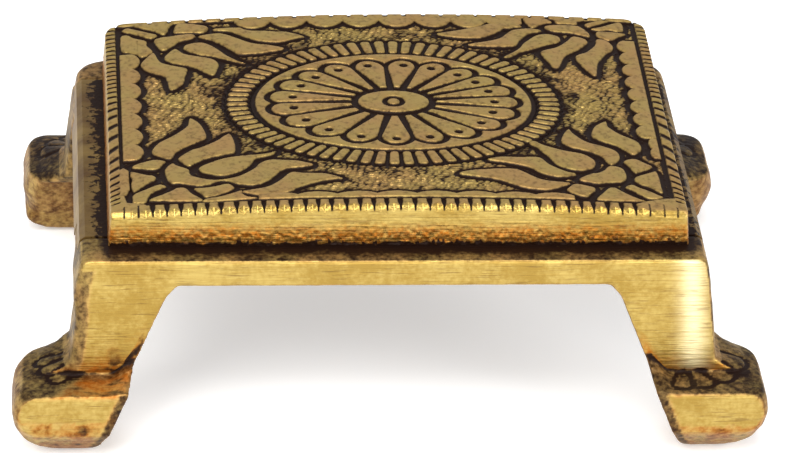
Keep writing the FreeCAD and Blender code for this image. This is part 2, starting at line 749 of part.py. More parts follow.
def make_rail(name, side):
    """A side rail: its section run front to rear, halved at both ends and drilled for two screws."""
    body = doc.addObject("PartDesign::Body", name)
    body.Label = name
    sign = "" if side > 0 else "-"
    inner = f"{sign}sizes.rail_inner_side"
    section = new_sketch(body, f"{name}_section", "XZ_Plane", f"-({REAR_SEAM} - sizes.lap_gap)")
    corners = [
        (inner, FRAME_BOTTOM),
        (f"{sign}(sizes.frame_half_width + sizes.side_run_out)", FRAME_BOTTOM),
        (f"{sign}sizes.eased_side", "sizes.frame_top - sizes.edge_ease"),
        (f"{sign}(sizes.frame_half_width - sizes.edge_ease)", "sizes.frame_top"),
        (inner, "sizes.frame_top"),
    ]
    draw_polygon(section, corners)
    pad(body, f"{name}_bar", section, f"{FRONT_SEAM} + {REAR_SEAM} - 2 * sizes.lap_gap")
    outside = f"{sign}(sizes.frame_half_width + sizes.overrun)"
    inside = f"{sign}(sizes.rail_inner_side - sizes.overrun)"
    halving = [
        (inside, f"{FRAME_BOTTOM} - sizes.overrun"),
        (outside, f"{FRAME_BOTTOM} - sizes.overrun"),
        (outside, LAP_HEIGHT),
        (inside, LAP_HEIGHT),
    ]
    front = new_sketch(body, f"{name}_front_halving", "XZ_Plane", f"{FRONT_SEAM} + sizes.overrun")
    draw_polygon(front, halving)
    pocket(body, f"{name}_front_lap", front, "sizes.lap_length + sizes.overrun + sizes.lap_gap")
    rear = new_sketch(body, f"{name}_rear_halving", "XZ_Plane", f"-({REAR_SEAM} + sizes.overrun)")
    draw_polygon(rear, halving)
    pocket(body, f"{name}_rear_lap", rear, "sizes.lap_length + sizes.overrun + sizes.lap_gap", True)
    across = f"{sign}sizes.corner_screw_span"
    front_place = f"-({FRONT_SEAM} - sizes.lap_length / 2)"
    rear_place = f"{REAR_SEAM} - sizes.lap_length / 2"
    for label, diameter, depth in (
        ("shanks", "sizes.corner_screw_diameter", "sizes.frame_thickness"),
        ("heads", "sizes.corner_screw_head", "sizes.corner_screw_head_height"),
    ):
        holes = new_sketch(body, f"{name}_{label}", "XY_Plane", "sizes.frame_top")
        draw_circle(holes, f"{diameter} + 2 * sizes.hole_clearance", across, front_place)
        draw_circle(holes, f"{diameter} + 2 * sizes.hole_clearance", across, rear_place)
        pocket(body, f"{name}_{label}_cut", holes, depth)
    return body


def make_screw(name, kind, length, place, upside_down):
    """A slotted cheese-head screw, turned from the bar and stood at its place."""
    body = doc.addObject("PartDesign::Body", name)
    body.Label = name
    profile = new_sketch(body, f"{name}_profile", "XZ_Plane", "0")
    head_radius = f"sizes.{kind}_head / 2"
    shank_radius = f"sizes.{kind}_diameter / 2"
    corners = [
        (None, None),
        (head_radius, None),
        (head_radius, f"-sizes.{kind}_head_height"),
        (shank_radius, f"-sizes.{kind}_head_height"),
        (shank_radius, f"-({length})"),
        (None, f"-({length})"),
    ]
    draw_polygon(profile, corners)
    turned = body.newObject("PartDesign::Revolution", f"{name}_turned")
    turned.Profile = profile
    turned.ReferenceAxis = (profile, ["V_Axis"])
    turned.Angle = FULL_TURN
    slot = new_sketch(body, f"{name}_slot", "XY_Plane", "0")
    half_slot = "sizes.slot_width / 2"
    long_side = f"sizes.{kind}_head"
    slot_corners = [
        (f"-{long_side}", f"-{half_slot}"),
        (long_side, f"-{half_slot}"),
        (long_side, half_slot),
        (f"-{long_side}", half_slot),
    ]
    draw_polygon(slot, slot_corners)
    pocket(body, f"{name}_slot_cut", slot, "sizes.slot_depth")
    for axis, expression in zip("xyz", place):
        body.setExpression(f"Placement.Base.{axis}", expression)
    if upside_down:
        body.Placement.Rotation = FreeCAD.Rotation(Vector(1, 0, 0), HALF_TURN)
    return body


def make_feature(name, shape):
    """A piece whose shape is worked out above."""
    feature = doc.addObject("Part::Feature", name)
    feature.Label = name
    feature.Shape = shape
    feature.Placement = FreeCAD.Placement()
    return feature


pieces = [
    make_feature("top_plate", plate_solid()),
    make_feature("front_arch", arch_solid(-1)),
    make_feature("rear_arch", arch_solid(1)),
    make_rail("left_rail", -1),
    make_rail("right_rail", 1),
]
PLATE_REAR = "min(sizes.plate_rear_left; sizes.plate_rear_right)"
for end_name, edge, seam in (("front", "-", FRONT_SEAM), ("rear", "", REAR_SEAM)):
    plate_edge = "sizes.plate_front" if end_name == "front" else PLATE_REAR
    for side_name, sign in (("left", "-"), ("right", "")):
        plate_screw_place = (
            f"{sign}sizes.plate_screw_span",
            f"{edge}({plate_edge} - sizes.plate_screw_inset)",
            FRAME_BOTTOM,
        )
        pieces.append(
            make_screw(
                f"plate_screw_{end_name}_{side_name}",
                "plate_screw",
                "sizes.frame_thickness + sizes.plate_screw_bite",
                plate_screw_place,
                True,
            )
        )
        corner_place = (
            f"{sign}sizes.corner_screw_span",
            f"{edge}({seam} - sizes.lap_length / 2)",
            "sizes.frame_top",
        )
        pieces.append(
            make_screw(
                f"corner_screw_{end_name}_{side_name}",
                "corner_screw",
                "sizes.frame_thickness / 2 + sizes.corner_screw_bite",
                corner_place,
                False,
            )
        )
doc.recompute()

# Every object must have built, and every piece must be sound, before anything is written
for item in doc.Objects:
    faults = [state for state in item.State if state in ("Invalid", "Error")]
    if faults:
        raise RuntimeError(f"{item.Name} did not build: {faults}")
for piece in pieces:
    if piece.Shape.isNull() or not piece.Shape.isValid() or not piece.Shape.Solids:
        raise RuntimeError(f"{piece.Label} has no sound shape")

os.makedirs("parts", exist_ok=True)
for piece in pieces:
    piece.Shape.exportStep(f"parts/{piece.Label}.step")
    box = piece.Shape.BoundBox
    print(
        f"{piece.Label}: {len(piece.Shape.Solids)} solid, {piece.Shape.Volume:.1f} mm3, "
        f"x {box.XMin:.2f} {box.XMax:.2f}, y {box.YMin:.2f} {box.YMax:.2f}, z {box.ZMin:.2f} {box.ZMax:.2f}"
    )
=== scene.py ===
"""Looks of a small brass table with a carved top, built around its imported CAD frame.

The carving's numbers are millimetres in plan, with the frame's X and Y. A mesh is written in metres.
"""

import math

import bmesh
import bpy
import numpy as np
from bpy.props import FloatProperty, FloatVectorProperty, IntProperty, PointerProperty
from mathutils import Matrix, Vector


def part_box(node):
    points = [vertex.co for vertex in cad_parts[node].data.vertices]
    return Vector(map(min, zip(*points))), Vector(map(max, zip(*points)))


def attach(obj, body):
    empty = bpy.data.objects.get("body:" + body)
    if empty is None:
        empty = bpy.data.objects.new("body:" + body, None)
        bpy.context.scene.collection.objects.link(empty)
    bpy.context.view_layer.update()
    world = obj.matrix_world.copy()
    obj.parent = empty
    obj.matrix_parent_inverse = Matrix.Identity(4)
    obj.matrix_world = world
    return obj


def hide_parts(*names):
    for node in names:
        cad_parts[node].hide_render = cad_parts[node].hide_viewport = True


bl_info = {
    "name": "Carved brass low table",
    "version": (1, 0, 0),
    "blender": (4, 5, 0),
    "location": "3D View > Sidebar > Brass table",
    "description": "Builds the carved top, the cast arches, their finishes and the studio",
    "category": "Object",
}

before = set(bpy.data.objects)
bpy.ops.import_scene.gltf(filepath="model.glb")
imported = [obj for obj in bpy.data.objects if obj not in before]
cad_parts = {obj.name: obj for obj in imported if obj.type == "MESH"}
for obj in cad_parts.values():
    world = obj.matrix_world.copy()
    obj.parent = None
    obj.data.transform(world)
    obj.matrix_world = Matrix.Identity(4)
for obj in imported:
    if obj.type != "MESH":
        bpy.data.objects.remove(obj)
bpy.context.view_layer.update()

MM = 0.001

# Outlines of the raised leaves and their root pieces, corner by corner
FRONT_LEFT_ISLANDS = (
    ((-38.2, -4.2), (-36.6, -5.8), (-35.6, -8.5), (-35.1, -11.9), (-36.3, -13.6), (-38.5, -15.1),
     (-40.3, -16.7), (-41.4, -18.1), (-41.9, -19.6), (-42.6, -20.2), (-44.3, -19.3),
     (-45.6, -18.1), (-45.9, -16.5), (-44.5, -13.6), (-41.1, -10.4), (-38.8, -7.3)),
    ((-30.8, -11.1), (-30.1, -12.2), (-29.6, -15.9), (-29.9, -18.5), (-31.4, -19.3),
     (-35.4, -20.8), (-37.9, -22.7), (-38.5, -23.4), (-39.4, -23), (-40.8, -20.8), (-40.6, -19.6),
     (-38.2, -17), (-36.3, -16.1), (-33.3, -13.8), (-32, -12.2)),
    ((-37.1, -24.7), (-35.4, -22.8), (-31.7, -20.8), (-27.4, -19.9), (-25.3, -19.8),
     (-23.1, -19.3), (-21.7, -18.5), (-22.8, -20.2), (-25.9, -21.4), (-26.8, -23.6),
     (-28.9, -26.2), (-32.3, -27.8), (-35.7, -26.5)),
    ((-42, -22), (-41.1, -23), (-39, -24.7), (-38.8, -26.1), (-37.9, -27.6), (-34.2, -29.3),
     (-29.9, -28.4), (-26.6, -25.6), (-25.4, -23.6), (-24, -22.4), (-22.5, -22), (-20.3, -22.3),
     (-18.2, -22.5), (-16.3, -23.3), (-14.8, -24.2), (-16, -25), (-19.7, -25.6), (-21.3, -26.7),
     (-23.4, -29.8), (-26.5, -31.9), (-29.9, -31.1), (-32.5, -29.7), (-35.4, -31.1),
     (-37.3, -31.4), (-40.6, -30.1), (-42.8, -29.6), (-43.6, -25.4), (-43.3, -23.6)),
    ((-28.9, -34.1), (-28, -33.8), (-24.3, -32.7), (-21.7, -30.4), (-20, -27.9), (-18.8, -27.1),
     (-16.9, -27.6), (-12.6, -28), (-9.4, -29.9), (-11.1, -30.2), (-14.8, -31.4), (-18.2, -33.3),
     (-19.7, -34.7), (-23.1, -36.1), (-25.6, -35.9), (-28.6, -34.7)),
    ((-49.9, -22.7), (-48.9, -21.6), (-45.6, -20.3), (-43.3, -21.1), (-43.9, -22.2),
     (-45.3, -24.2), (-49.1, -23.3)),
    ((-50, -24.5), (-47.1, -26.1), (-45.9, -26.5), (-45.3, -27.4), (-45.7, -28.5), (-46.9, -29.4),
     (-48.3, -31), (-49.7, -32.7), (-50.2, -29.8), (-50, -27.6), (-50.3, -25.8)),
    ((-49.9, -33.8), (-48, -32.2), (-44.9, -30.2), (-43.4, -31), (-44.6, -31.9), (-46.2, -33.4),
     (-46.9, -34.7), (-47.7, -37.1), (-49.9, -36.8), (-50, -35.6)),
    ((-46.9, -36.1), (-44.3, -34.1), (-42.5, -32.8), (-41.3, -31.8), (-39.7, -32.1),
     (-38.5, -34.4), (-36.6, -37.1), (-40.9, -37.1), (-43.4, -36.7)),
    ((-38.2, -32.4), (-36.6, -32.2), (-34.2, -31.8), (-31.7, -31), (-30.5, -32.2), (-30.8, -33.3),
     (-33.9, -35.4), (-36, -35.9), (-36.9, -34.4)),
    ((-36, -36.5), (-33.6, -35.9), (-31.1, -34.8), (-29.1, -33.8), (-28.9, -35), (-28, -36.2),
     (-26.2, -37), (-36, -37.8)),
)
FRONT_RIGHT_ISLANDS = (
    ((44.1, -5.3), (44.5, -7.6), (46.6, -10.4), (49.4, -12.8), (50.1, -14.4), (50.1, -16.2),
     (49.4, -17.6), (48.3, -18.4), (47.5, -17.9), (45.4, -15.4), (42, -13.3), (40.9, -12.2),
     (40.7, -10.7), (41.7, -7.6)),
    ((36.4, -9.1), (37.1, -10.7), (38.6, -13.1), (40.1, -14.5), (42, -15.4), (44.9, -17.3),
     (45.4, -20.2), (43.7, -23.1), (42.7, -22.1), (41.4, -19.3), (38, -17.3), (36.1, -16.5),
     (34.4, -14.4), (35.2, -11)),
    ((28, -15), (29.1, -14.5), (31.2, -16.2), (34.9, -18.1), (37.1, -18.7), (38.6, -19.4),
     (39.8, -20.7), (40.4, -22.1), (40.1, -23.9), (39.1, -25.1), (37.4, -25.8), (35.5, -25.6),
     (33.7, -24.7), (32.4, -23.3), (31.1, -20.2), (30.1, -18.7), (29.4, -17.1), (28.1, -15.8)),
    ((19.2, -22.5), (20.4, -21.6), (22.6, -21.1), (25.1, -21.2), (29.4, -21.1), (31.4, -23.9),
     (34.3, -26.4), (36, -27.1), (35.5, -28.1), (32.4, -28.7), (29.4, -27.4), (26.9, -25),
     (23.2, -23.6)),
    ((13.2, -28.1), (14.9, -27), (19.5, -26.1), (24.1, -25.9), (25.7, -26.8), (28.1, -29.1),
     (29.7, -30.1), (31.8, -30.5), (34.6, -31), (33.4, -32.1), (30.6, -33.8), (28.1, -33.9),
     (25.7, -33.3), (23.8, -32.4), (20.1, -30.1), (15.2, -29)),
    ((43.2, -23.6), (44.4, -23.7), (45.7, -24.7), (46, -27.6), (45.4, -29.1), (44.4, -29.9),
     (42.3, -30.2), (40.1, -30.8), (38.6, -30.5), (36.4, -29.4), (38.9, -27), (40.4, -26.5),
     (41.7, -25.4), (42.4, -24.2)),
    ((46, -21.4), (48.3, -20.2), (50.6, -22.1), (51.5, -23.1), (50.6, -24.2), (49.1, -25.1),
     (47.8, -25.9), (46.6, -23)),
    ((47.4, -29.1), (47.7, -27.6), (50.6, -25.6), (52, -25), (52.4, -27.6), (52.4, -30.7),
     (52.3, -33.4), (49.8, -31.3), (48.4, -30.4)),
    ((45.2, -31.8), (46.7, -30.7), (48.1, -31.8), (49.7, -32.8), (51.2, -34.1), (52.3, -35.3),
     (49.4, -35.9), (46.6, -33.1)),
    ((42, -32.4), (43.2, -32.2), (44.1, -33.1), (45.7, -34.7), (47.5, -36.2), (48.7, -37),
     (44.7, -37.3), (41.7, -37.4), (39.1, -37.1), (40.6, -34.4)),
    ((33.7, -33.9), (34.3, -32.5), (35.5, -31.3), (37.4, -31.6), (39.2, -32.5), (39.1, -33.8),
     (38.1, -35.1), (37.4, -36.2), (35.8, -35.8)),
)
REAR_LEFT_ISLANDS = (
    ((-32.5, 33.2), (-31.1, 33.7), (-27.1, 33.7), (-25.9, 32.8), (-24.3, 32.2), (-21.9, 32),
     (-19.4, 31.5), (-17.3, 31.2), (-13.9, 29.1), (-15.4, 28.5), (-18.5, 27.1), (-20.3, 26.9),
     (-23.4, 27.7), (-26.2, 29.7), (-28.6, 31.8), (-30.2, 32.5), (-31.7, 32.6)),
    ((-35.4, 30.6), (-31.7, 31.5), (-29.9, 30.9), (-28.3, 29.7), (-25.3, 27.2), (-23.4, 26.3),
     (-21.3, 25.7), (-18.3, 24.3), (-19.7, 23.2), (-21.3, 22.8), (-23.1, 22.3), (-26.8, 22),
     (-28, 22.5), (-30.5, 26), (-32.9, 28.5), (-34.5, 29.4)),
    ((-38.6, 25.8), (-37.9, 27.1), (-35.1, 27.8), (-32.9, 26.2), (-30.8, 23.2), (-29.9, 21.7),
     (-27.7, 19.2), (-26.3, 18.2), (-27.4, 18.3), (-30.8, 20.3), (-32.6, 21.4), (-36, 22.8),
     (-38.2, 24.8)),
    ((-40.3, 25.4), (-38.5, 23.2), (-36.9, 22.3), (-33.6, 20.9), (-32.3, 19.8), (-31.7, 18.3),
     (-31.9, 16.5), (-33.1, 13.4), (-36, 16.5), (-37.6, 17.7), (-40.6, 19.2), (-42, 20.2),
     (-42.6, 21.4), (-42.2, 22.9)),
    ((-44.6, 24.2), (-43.7, 21.1), (-42.8, 19.5), (-40, 17.8), (-38.5, 17.1), (-38, 16.2),
     (-38.6, 13.1), (-38.8, 11.2), (-39.4, 9.7), (-41.6, 8), (-42.3, 12.2), (-42.9, 14),
     (-45.9, 16.2), (-47.4, 19.2), (-45.9, 22.6)),
    ((-51.1, 32), (-49.7, 32.2), (-48.5, 30.9), (-46.8, 30), (-45.9, 29.1), (-45.9, 27.5),
     (-44.8, 24.6), (-46.9, 22.5), (-48, 23.5), (-49.6, 24.6), (-50.9, 25.2), (-51.3, 27.2),
     (-51.3, 29.7)),
    ((-44.5, 29.4), (-43.1, 30.6), (-41.3, 30.9), (-38.8, 31.5), (-36.6, 31.5), (-36, 30.3),
     (-37.6, 29.2), (-39.4, 28.5), (-40.3, 27.2), (-41.6, 25.7), (-42.8, 25.1), (-43.7, 26.3)),
    ((-50.9, 34.5), (-49.9, 35.5), (-48.6, 34.9), (-45.3, 32.8), (-43.7, 31.8), (-44.5, 30.6),
     (-45.6, 30.6), (-48.6, 32.8), (-50.5, 33.8)),
    ((-48.5, 36.8), (-44.9, 37.1), (-41.6, 36.9), (-40.3, 36.6), (-41.1, 35.2), (-41.9, 32.2),
     (-42.9, 32), (-44.3, 33.4), (-48, 35.8)),
    ((-39.7, 36.2), (-37.9, 36.3), (-34.2, 35.1), (-33.3, 34), (-33.9, 32.3), (-35.4, 32),
     (-37.6, 32.2), (-39.7, 32.2), (-40.5, 32.8)),
)
REAR_RIGHT_ISLANDS = (
    ((13.1, 30.4), (14.6, 30.9), (18.3, 32.2), (22, 33.8), (23.8, 34.9), (27.5, 35.5),
     (29.4, 35.3), (30.9, 34.4), (30, 33.8), (27.5, 33.6), (25.7, 31.5), (22.9, 29.3),
     (21.1, 28.7), (16.7, 28.7), (13.7, 29.6)),
    ((19.1, 25.6), (20.4, 26.4), (22.3, 27), (25.7, 28.7), (27.8, 31.5), (29.1, 32.7),
     (32.4, 33.5), (34.9, 32.6), (32.1, 31.2), (30.1, 28.4), (28.6, 25.6), (24.4, 25), (21.7, 25)),
    ((26, 20.7), (28.4, 23.2), (29.7, 25), (30.6, 26.9), (33.1, 30.1), (34.6, 31), (36.4, 31.2),
     (38, 30.4), (38.4, 29), (37.7, 27.8), (34.3, 25.9), (32.7, 24.7), (29.7, 22.9), (28.1, 21.3),
     (26.9, 20.4)),
    ((40.9, 30.6), (42.6, 30.4), (43.7, 29.5), (43.8, 28.1), (41.7, 25), (39.2, 22.6), (38.3, 21),
     (37.1, 17.3), (36.4, 16.4), (35.5, 17), (35.1, 18.6), (33.8, 22.2), (34.1, 23.8),
     (37.1, 25.6), (39.5, 28.4)),
    ((45.7, 29.6), (46.6, 30), (47.8, 29.5), (48.7, 28.2), (49, 26.6), (48.4, 25), (47.2, 23.5),
     (45.4, 20.1), (44.9, 18.2), (44.4, 14.6), (44.1, 13.9), (43.2, 14.6), (41.5, 18.2),
     (40.7, 21.6), (41.7, 23), (43.2, 24.1), (45.2, 27.2)),
    ((31.4, 37.9), (33.1, 38.6), (35.2, 38.4), (37.4, 36.7), (35.5, 35.9), (33.1, 33.9),
     (32.1, 35.2)),
    ((35.5, 34.4), (36.7, 35.3), (38.6, 35.6), (41.1, 35.6), (42.9, 35.2), (44.4, 32.9),
     (44.7, 31.5), (44.1, 30.9), (41.1, 32.1), (36.7, 32.7)),
    ((37.7, 38.6), (42.9, 38.9), (45.4, 38.7), (42.9, 37.6), (42.3, 36.1), (40.1, 36.2),
     (38.3, 36.2), (37.8, 37.6)),
    ((44, 36.4), (45.7, 37.5), (47.8, 38.6), (49.7, 38.6), (47.8, 37.3), (45.7, 35.9),
     (44.6, 35.2)),
    ((45.1, 34.4), (47.2, 35.5), (49.4, 37), (51.2, 37.9), (52, 37), (51.8, 34.2), (50.6, 33.8),
     (48.7, 34.4), (46.9, 33.8)),
    ((46.3, 33.3), (48.7, 33.5), (52.1, 33), (51.5, 32.1), (50, 30.9), (48.4, 29.6), (46.1, 31.2)),
)

# Places of the plate's outline, seen from above
PLATE_LOW, PLATE_HIGH = (Vector(corner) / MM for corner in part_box("top_plate"))
PLATE_DRAFT = 0.5
PLATE_MIDDLE = (PLATE_LOW.x + PLATE_HIGH.x) / 2
PLATE_HALF_WIDTH = (PLATE_HIGH.x - PLATE_LOW.x) / 2 - PLATE_DRAFT
PLATE_FRONT = PLATE_LOW.y
PLATE_FOOT = PLATE_LOW.z
PLATE_SKEW = 2.3
PLATE_REAR_RIGHT = PLATE_HIGH.y - PLATE_DRAFT
PLATE_REAR_LEFT = PLATE_REAR_RIGHT - PLATE_SKEW
PLATE_SIDE_HEIGHT = 7.0
PLATE_REAR_LIFT = 1.05
PLATE_CROWN = 1.9
CROWN_RADIUS = (PLATE_HALF_WIDTH**2 + PLATE_CROWN**2) / (2 * PLATE_CROWN)
REAR_CORNER_RADIUS = 4.5
FRONT_CORNER_RADIUS = 0.8
EDGE_RADIUS = 0.35
SKIN_FLOOR = PLATE_FOOT + 3.3

# Places of the rosette and the bead ring round it
ROSETTE_X = 2.4
ROSETTE_Y = 1.1
PETAL_HALF_LENGTHS = (25.2, 18.1)
BAND_HALF_LENGTHS = (27.5, 19.9)
DOT_SHARES = (0.80, 0.85)
EYE_HALF_LENGTHS = (7.1, 4.4)
PETAL_ANGLES = (-91, -73, -55, -35.5, -16.5, 1, 18.5, 34.5, 49.5, 66.5, 82, 101.5, 119, 136, 152,
                171, 189, 210, 230, 250)
BEAD_INNER = (28.9, 20.6)
BEAD_OUTER = (33.2, 25.6)


def plate_top(x, y):
    """Height of the plate's crowned top before it is carved."""
    lift = PLATE_REAR_LIFT * (y - PLATE_FRONT) / (PLATE_HIGH.y - PLATE_FRONT)
    sag = CROWN_RADIUS - np.sqrt(CROWN_RADIUS**2 - (x - PLATE_MIDDLE) ** 2)
    return PLATE_FOOT + PLATE_SIDE_HEIGHT + PLATE_CROWN + lift - sag


def fade(value, low, high):
    """Smooth step from 0 at low to 1 at high."""
    share = np.clip((value - low) / (high - low), 0, 1)
    return share * share * (3 - 2 * share)


def fade_out(value, low, high):
    """Smooth step from 1 at low to 0 at high."""
    return 1 - fade(value, low, high)


NOISE_TABLE = (251, 257)
PEBBLE_TABLE = (191, 193)
PEBBLE_MARGIN_SHARE = 0.15
PEBBLE_EDGE_SHARE = 0.55


def lumps(u, v, pitch, seed):
    """Soft noise from -1 to 1 with the given pitch."""
    table = np.random.default_rng(seed).random(NOISE_TABLE) * 2 - 1
    column = np.floor(u / pitch).astype(int)
    row = np.floor(v / pitch).astype(int)
    across = fade(u / pitch - column, 0, 1)
    along = fade(v / pitch - row, 0, 1)

    def corner(i, j):
        return table[(column + i) % NOISE_TABLE[0], (row + j) % NOISE_TABLE[1]]

    near = corner(0, 0) * (1 - across) + corner(1, 0) * across
    far = corner(0, 1) * (1 - across) + corner(1, 1) * across
    return near * (1 - along) + far * along


def pebbles(x, y, pitch, seed):
    """Share of the way up the nearest punched pebble, 0 in the gaps and 1 on its top."""
    shifts = np.random.default_rng(seed).random((*PEBBLE_TABLE, 3))
    spread = 1 - 2 * PEBBLE_MARGIN_SHARE
    column = np.floor(x / pitch).astype(int)
    row = np.floor(y / pitch).astype(int)
    nearest = np.full(x.shape, np.inf)
    second = np.full(x.shape, np.inf)
    for i in (-1, 0, 1):
        for j in (-1, 0, 1):
            shift = shifts[(column + i) % PEBBLE_TABLE[0], (row + j) % PEBBLE_TABLE[1]]
            across = (column + i + PEBBLE_MARGIN_SHARE + spread * shift[..., 0]) * pitch - x
            along = (row + j + PEBBLE_MARGIN_SHARE + spread * shift[..., 1]) * pitch - y
            gap = np.hypot(across, along)
            second = np.minimum(second, np.maximum(nearest, gap))
            nearest = np.minimum(nearest, gap)
    return fade(second - nearest, 0.0, PEBBLE_EDGE_SHARE * pitch)


def rounded(points, steps=6):
    """A closed outline through the points, rounded between them."""
    here = np.asarray(points, float)
    before = np.roll(here, 1, axis=0)[:, None]
    after = np.roll(here, -1, axis=0)[:, None]
    beyond = np.roll(here, -2, axis=0)[:, None]
    here = here[:, None]
    t = (np.arange(steps) / steps)[None, :, None]
    curve = 2 * here + (after - before) * t
    curve = curve + (2 * before - 5 * here + 4 * after - beyond) * t**2
    curve = curve + (3 * here - before - 3 * after + beyond) * t**3
    return (curve / 2).reshape(-1, 2)


REACH = 2.3
SHORTEST_RUN = 1e-12


def depth_inside(outline, x, y):
    """Distance to a closed outline, above zero inside it."""
    nearest = np.full(x.shape, np.inf)
    inside = np.zeros(x.shape, bool)
    for (ax, ay), (bx, by) in zip(outline, np.roll(outline, -1, axis=0)):
        run_x = bx - ax
        run_y = by - ay
        length = max(run_x**2 + run_y**2, SHORTEST_RUN)
        share = np.clip(((x - ax) * run_x + (y - ay) * run_y) / length, 0, 1)
        gap = (x - ax - share * run_x) ** 2 + (y - ay - share * run_y) ** 2
        nearest = np.minimum(nearest, gap)
        if ay != by:
            crosses = (ay > y) != (by > y)
            inside ^= crosses & (x < ax + (y - ay) * run_x / run_y)
    nearest = np.sqrt(nearest)
    return np.where(inside, nearest, -nearest)


def raise_outline(depth, outline, x, y):
    """Takes one outline into the field of distances, where it is near."""
    low = outline.min(axis=0) - REACH
    high = outline.max(axis=0) + REACH
    near = (x > low[0]) & (x < high[0]) & (y > low[1]) & (y < high[1])
    if near.any():
        depth[near] = np.maximum(depth[near], depth_inside(outline, x[near], y[near]))


SCALLOP_STEPS = 12
SCALLOP_FULLNESS = 0.7


def scalloped(start, end, base, bulge, pitch, outer, upright):
    """A border strip from start to end with its inner edge in scallops of one pitch."""
    count = max(2, round(abs(end - start) / pitch))
    share = np.linspace(0, 1, count * SCALLOP_STEPS + 1)
    along = start + (end - start) * share
    edge = base + bulge * np.abs(np.sin(math.pi * count * share)) ** SCALLOP_FULLNESS
    line = np.stack([edge, along] if upright else [along, edge], axis=1)
    ends = [(outer, end), (outer, start)] if upright else [(end, outer), (start, outer)]
    return np.vstack([line, ends])


def rear_line(x):
    """The plate's rear edge at x, which runs out of square."""
    share = (x - PLATE_MIDDLE) / (2 * PLATE_HALF_WIDTH) + 0.5
    return PLATE_REAR_LEFT + PLATE_SKEW * share


# Border strips: start, end, inner edge, bulge and pitch of the scallops, outer edge, upright or not
BORDER_STRIPS = (
    (24.0, -20.0, -48.9, 1.5, 6.0, -51.6, True),
    (30.0, -11.5, 51.2, -1.5, 5.4, 53.7, True),
    (-11.5, -19.5, 52.3, -0.6, 8.0, 53.7, True),
    (-26.0, 35.0, -35.9, 0.9, 7.3, -37.4, False),
    (-28.0, 31.1, 35.9, -2.7, 7.4, 42.0, False),
)
# Plain islands in the plate's front corners
CORNER_OUTLINES = (
    ((-54.6, -33.0), (-51.6, -33.2), (-51.0, -36.6), (-47.4, -37.7), (-46.8, -41.6), (-54.6, -41.6)),
    ((-53.6, -24.6), (-51.5, -22.8), (-50.5, -24.0), (-50.4, -31.4), (-51.1, -33.8), (-53.6, -34.0)),
    ((52.4, -35.6), (49.0, -36.9), (46.6, -38.2), (47.0, -41.6), (57.0, -41.6), (57.0, -35.0)),
)
BORDER_ISLANDS = tuple(scalloped(*strip) for strip in BORDER_STRIPS)
CORNER_ISLANDS = tuple(np.array(outline) for outline in CORNER_OUTLINES)
LEAF_ISLANDS = tuple(
    rounded(points)
    for points in FRONT_LEFT_ISLANDS + FRONT_RIGHT_ISLANDS + REAR_LEFT_ISLANDS + REAR_RIGHT_ISLANDS
)

# Teeth and filed chamfer of the front edge. A noise is a pitch and a seed
TOOTH_PITCH = 2.65
TOOTH_HALF_WIDTH = 0.9
TOOTH_FRONT_HALF_WIDTH = 1.2
TOOTH_BACK = -38.0
TOOTH_CHAMFER_DEPTH = 1.3
TOOTH_CHAMFER_DROP = 1.25
TOOTH_RIGHT_END = 50.0
TOOTH_LEFT_MARGIN = 4.0
TOOTH_WANDER = 0.3
TOOTH_NOISE = (4.3, 51)
PLAIN_DOME_SHARE = 0.35
DOME_BITE_SHARE = 0.7
SIDE_STRIP_START = 53.3
SIDE_RIDGE_PITCH = 1.75
SIDE_RIDGE_DEPTH = 0.3


def tooth_place(x):
    """Distance from the middle of the nearest tooth of the front edge, which was cut by eye."""
    along = x + TOOTH_WANDER * lumps(x, 0 * x, *TOOTH_NOISE)
    return (along + TOOTH_PITCH / 2) % TOOTH_PITCH - TOOTH_PITCH / 2


def chamfer_share(x, y):
    """How far the filed chamfer of the front edge has come, 0 on the top and 1 at the plate's front."""
    dome = np.clip(np.abs(tooth_place(x)) / TOOTH_FRONT_HALF_WIDTH, 0, 1)
    plain = (x > TOOTH_RIGHT_END) | (x < PLATE_CORNERS[0][0] + TOOTH_LEFT_MARGIN)
    dome = np.where(plain, PLAIN_DOME_SHARE, dome)
    into = 1 - (y - PLATE_FRONT) / TOOTH_CHAMFER_DEPTH
    return np.clip(into - DOME_BITE_SHARE * dome, 0, 1)


def ellipse_place(x, y, half_x, half_y):
    """Angle and share of the radius on an ellipse round the rosette's centre."""
    across = (x - ROSETTE_X) / half_x
    along = (y - ROSETTE_Y) / half_y
    return np.arctan2(along, across), np.hypot(across, along)


BEAD_HALF_GAP = 0.36
BEAD_ROUND = 0.7


def bead_depth(x, y, count):
    """Distance into the beads of the ring round the rosette."""
    mid_x = (BEAD_INNER[0] + BEAD_OUTER[0]) / 2
    mid_y = (BEAD_INNER[1] + BEAD_OUTER[1]) / 2
    angle, share = ellipse_place(x, y, mid_x, mid_y)
    radius = np.hypot(mid_x * np.cos(angle), mid_y * np.sin(angle))
    half_long = np.hypot(
        (BEAD_OUTER[0] - mid_x) * np.cos(angle), (BEAD_OUTER[1] - mid_y) * np.sin(angle)
    )
    speed = np.hypot(mid_x * np.sin(angle), mid_y * np.cos(angle))
    step = 2 * math.pi / count
    turn = (angle / step - np.round(angle / step)) * step
    out = (share - 1) * radius
    half_wide = speed * step / 2 - BEAD_HALF_GAP
    across = np.abs(turn * speed) - half_wide + BEAD_ROUND
    along = np.abs(out) - half_long + BEAD_ROUND
    outside = np.hypot(np.maximum(across, 0), np.maximum(along, 0))
    return BEAD_ROUND - outside - np.minimum(np.maximum(across, along), 0)


PETAL_CAP_SHARE = 0.92
PETAL_GAP = 1.35
PETAL_GAP_LOSS = 0.6
PETAL_GAP_SHARES = (0.35, 0.85)
PETAL_ROOT_SHARE = 0.335
DOT_RADIUS = 0.8
BAND_CLEARANCE = 0.75
PUPIL_RADIUS = 1.75
PUPIL_HALF_LINE = 0.5


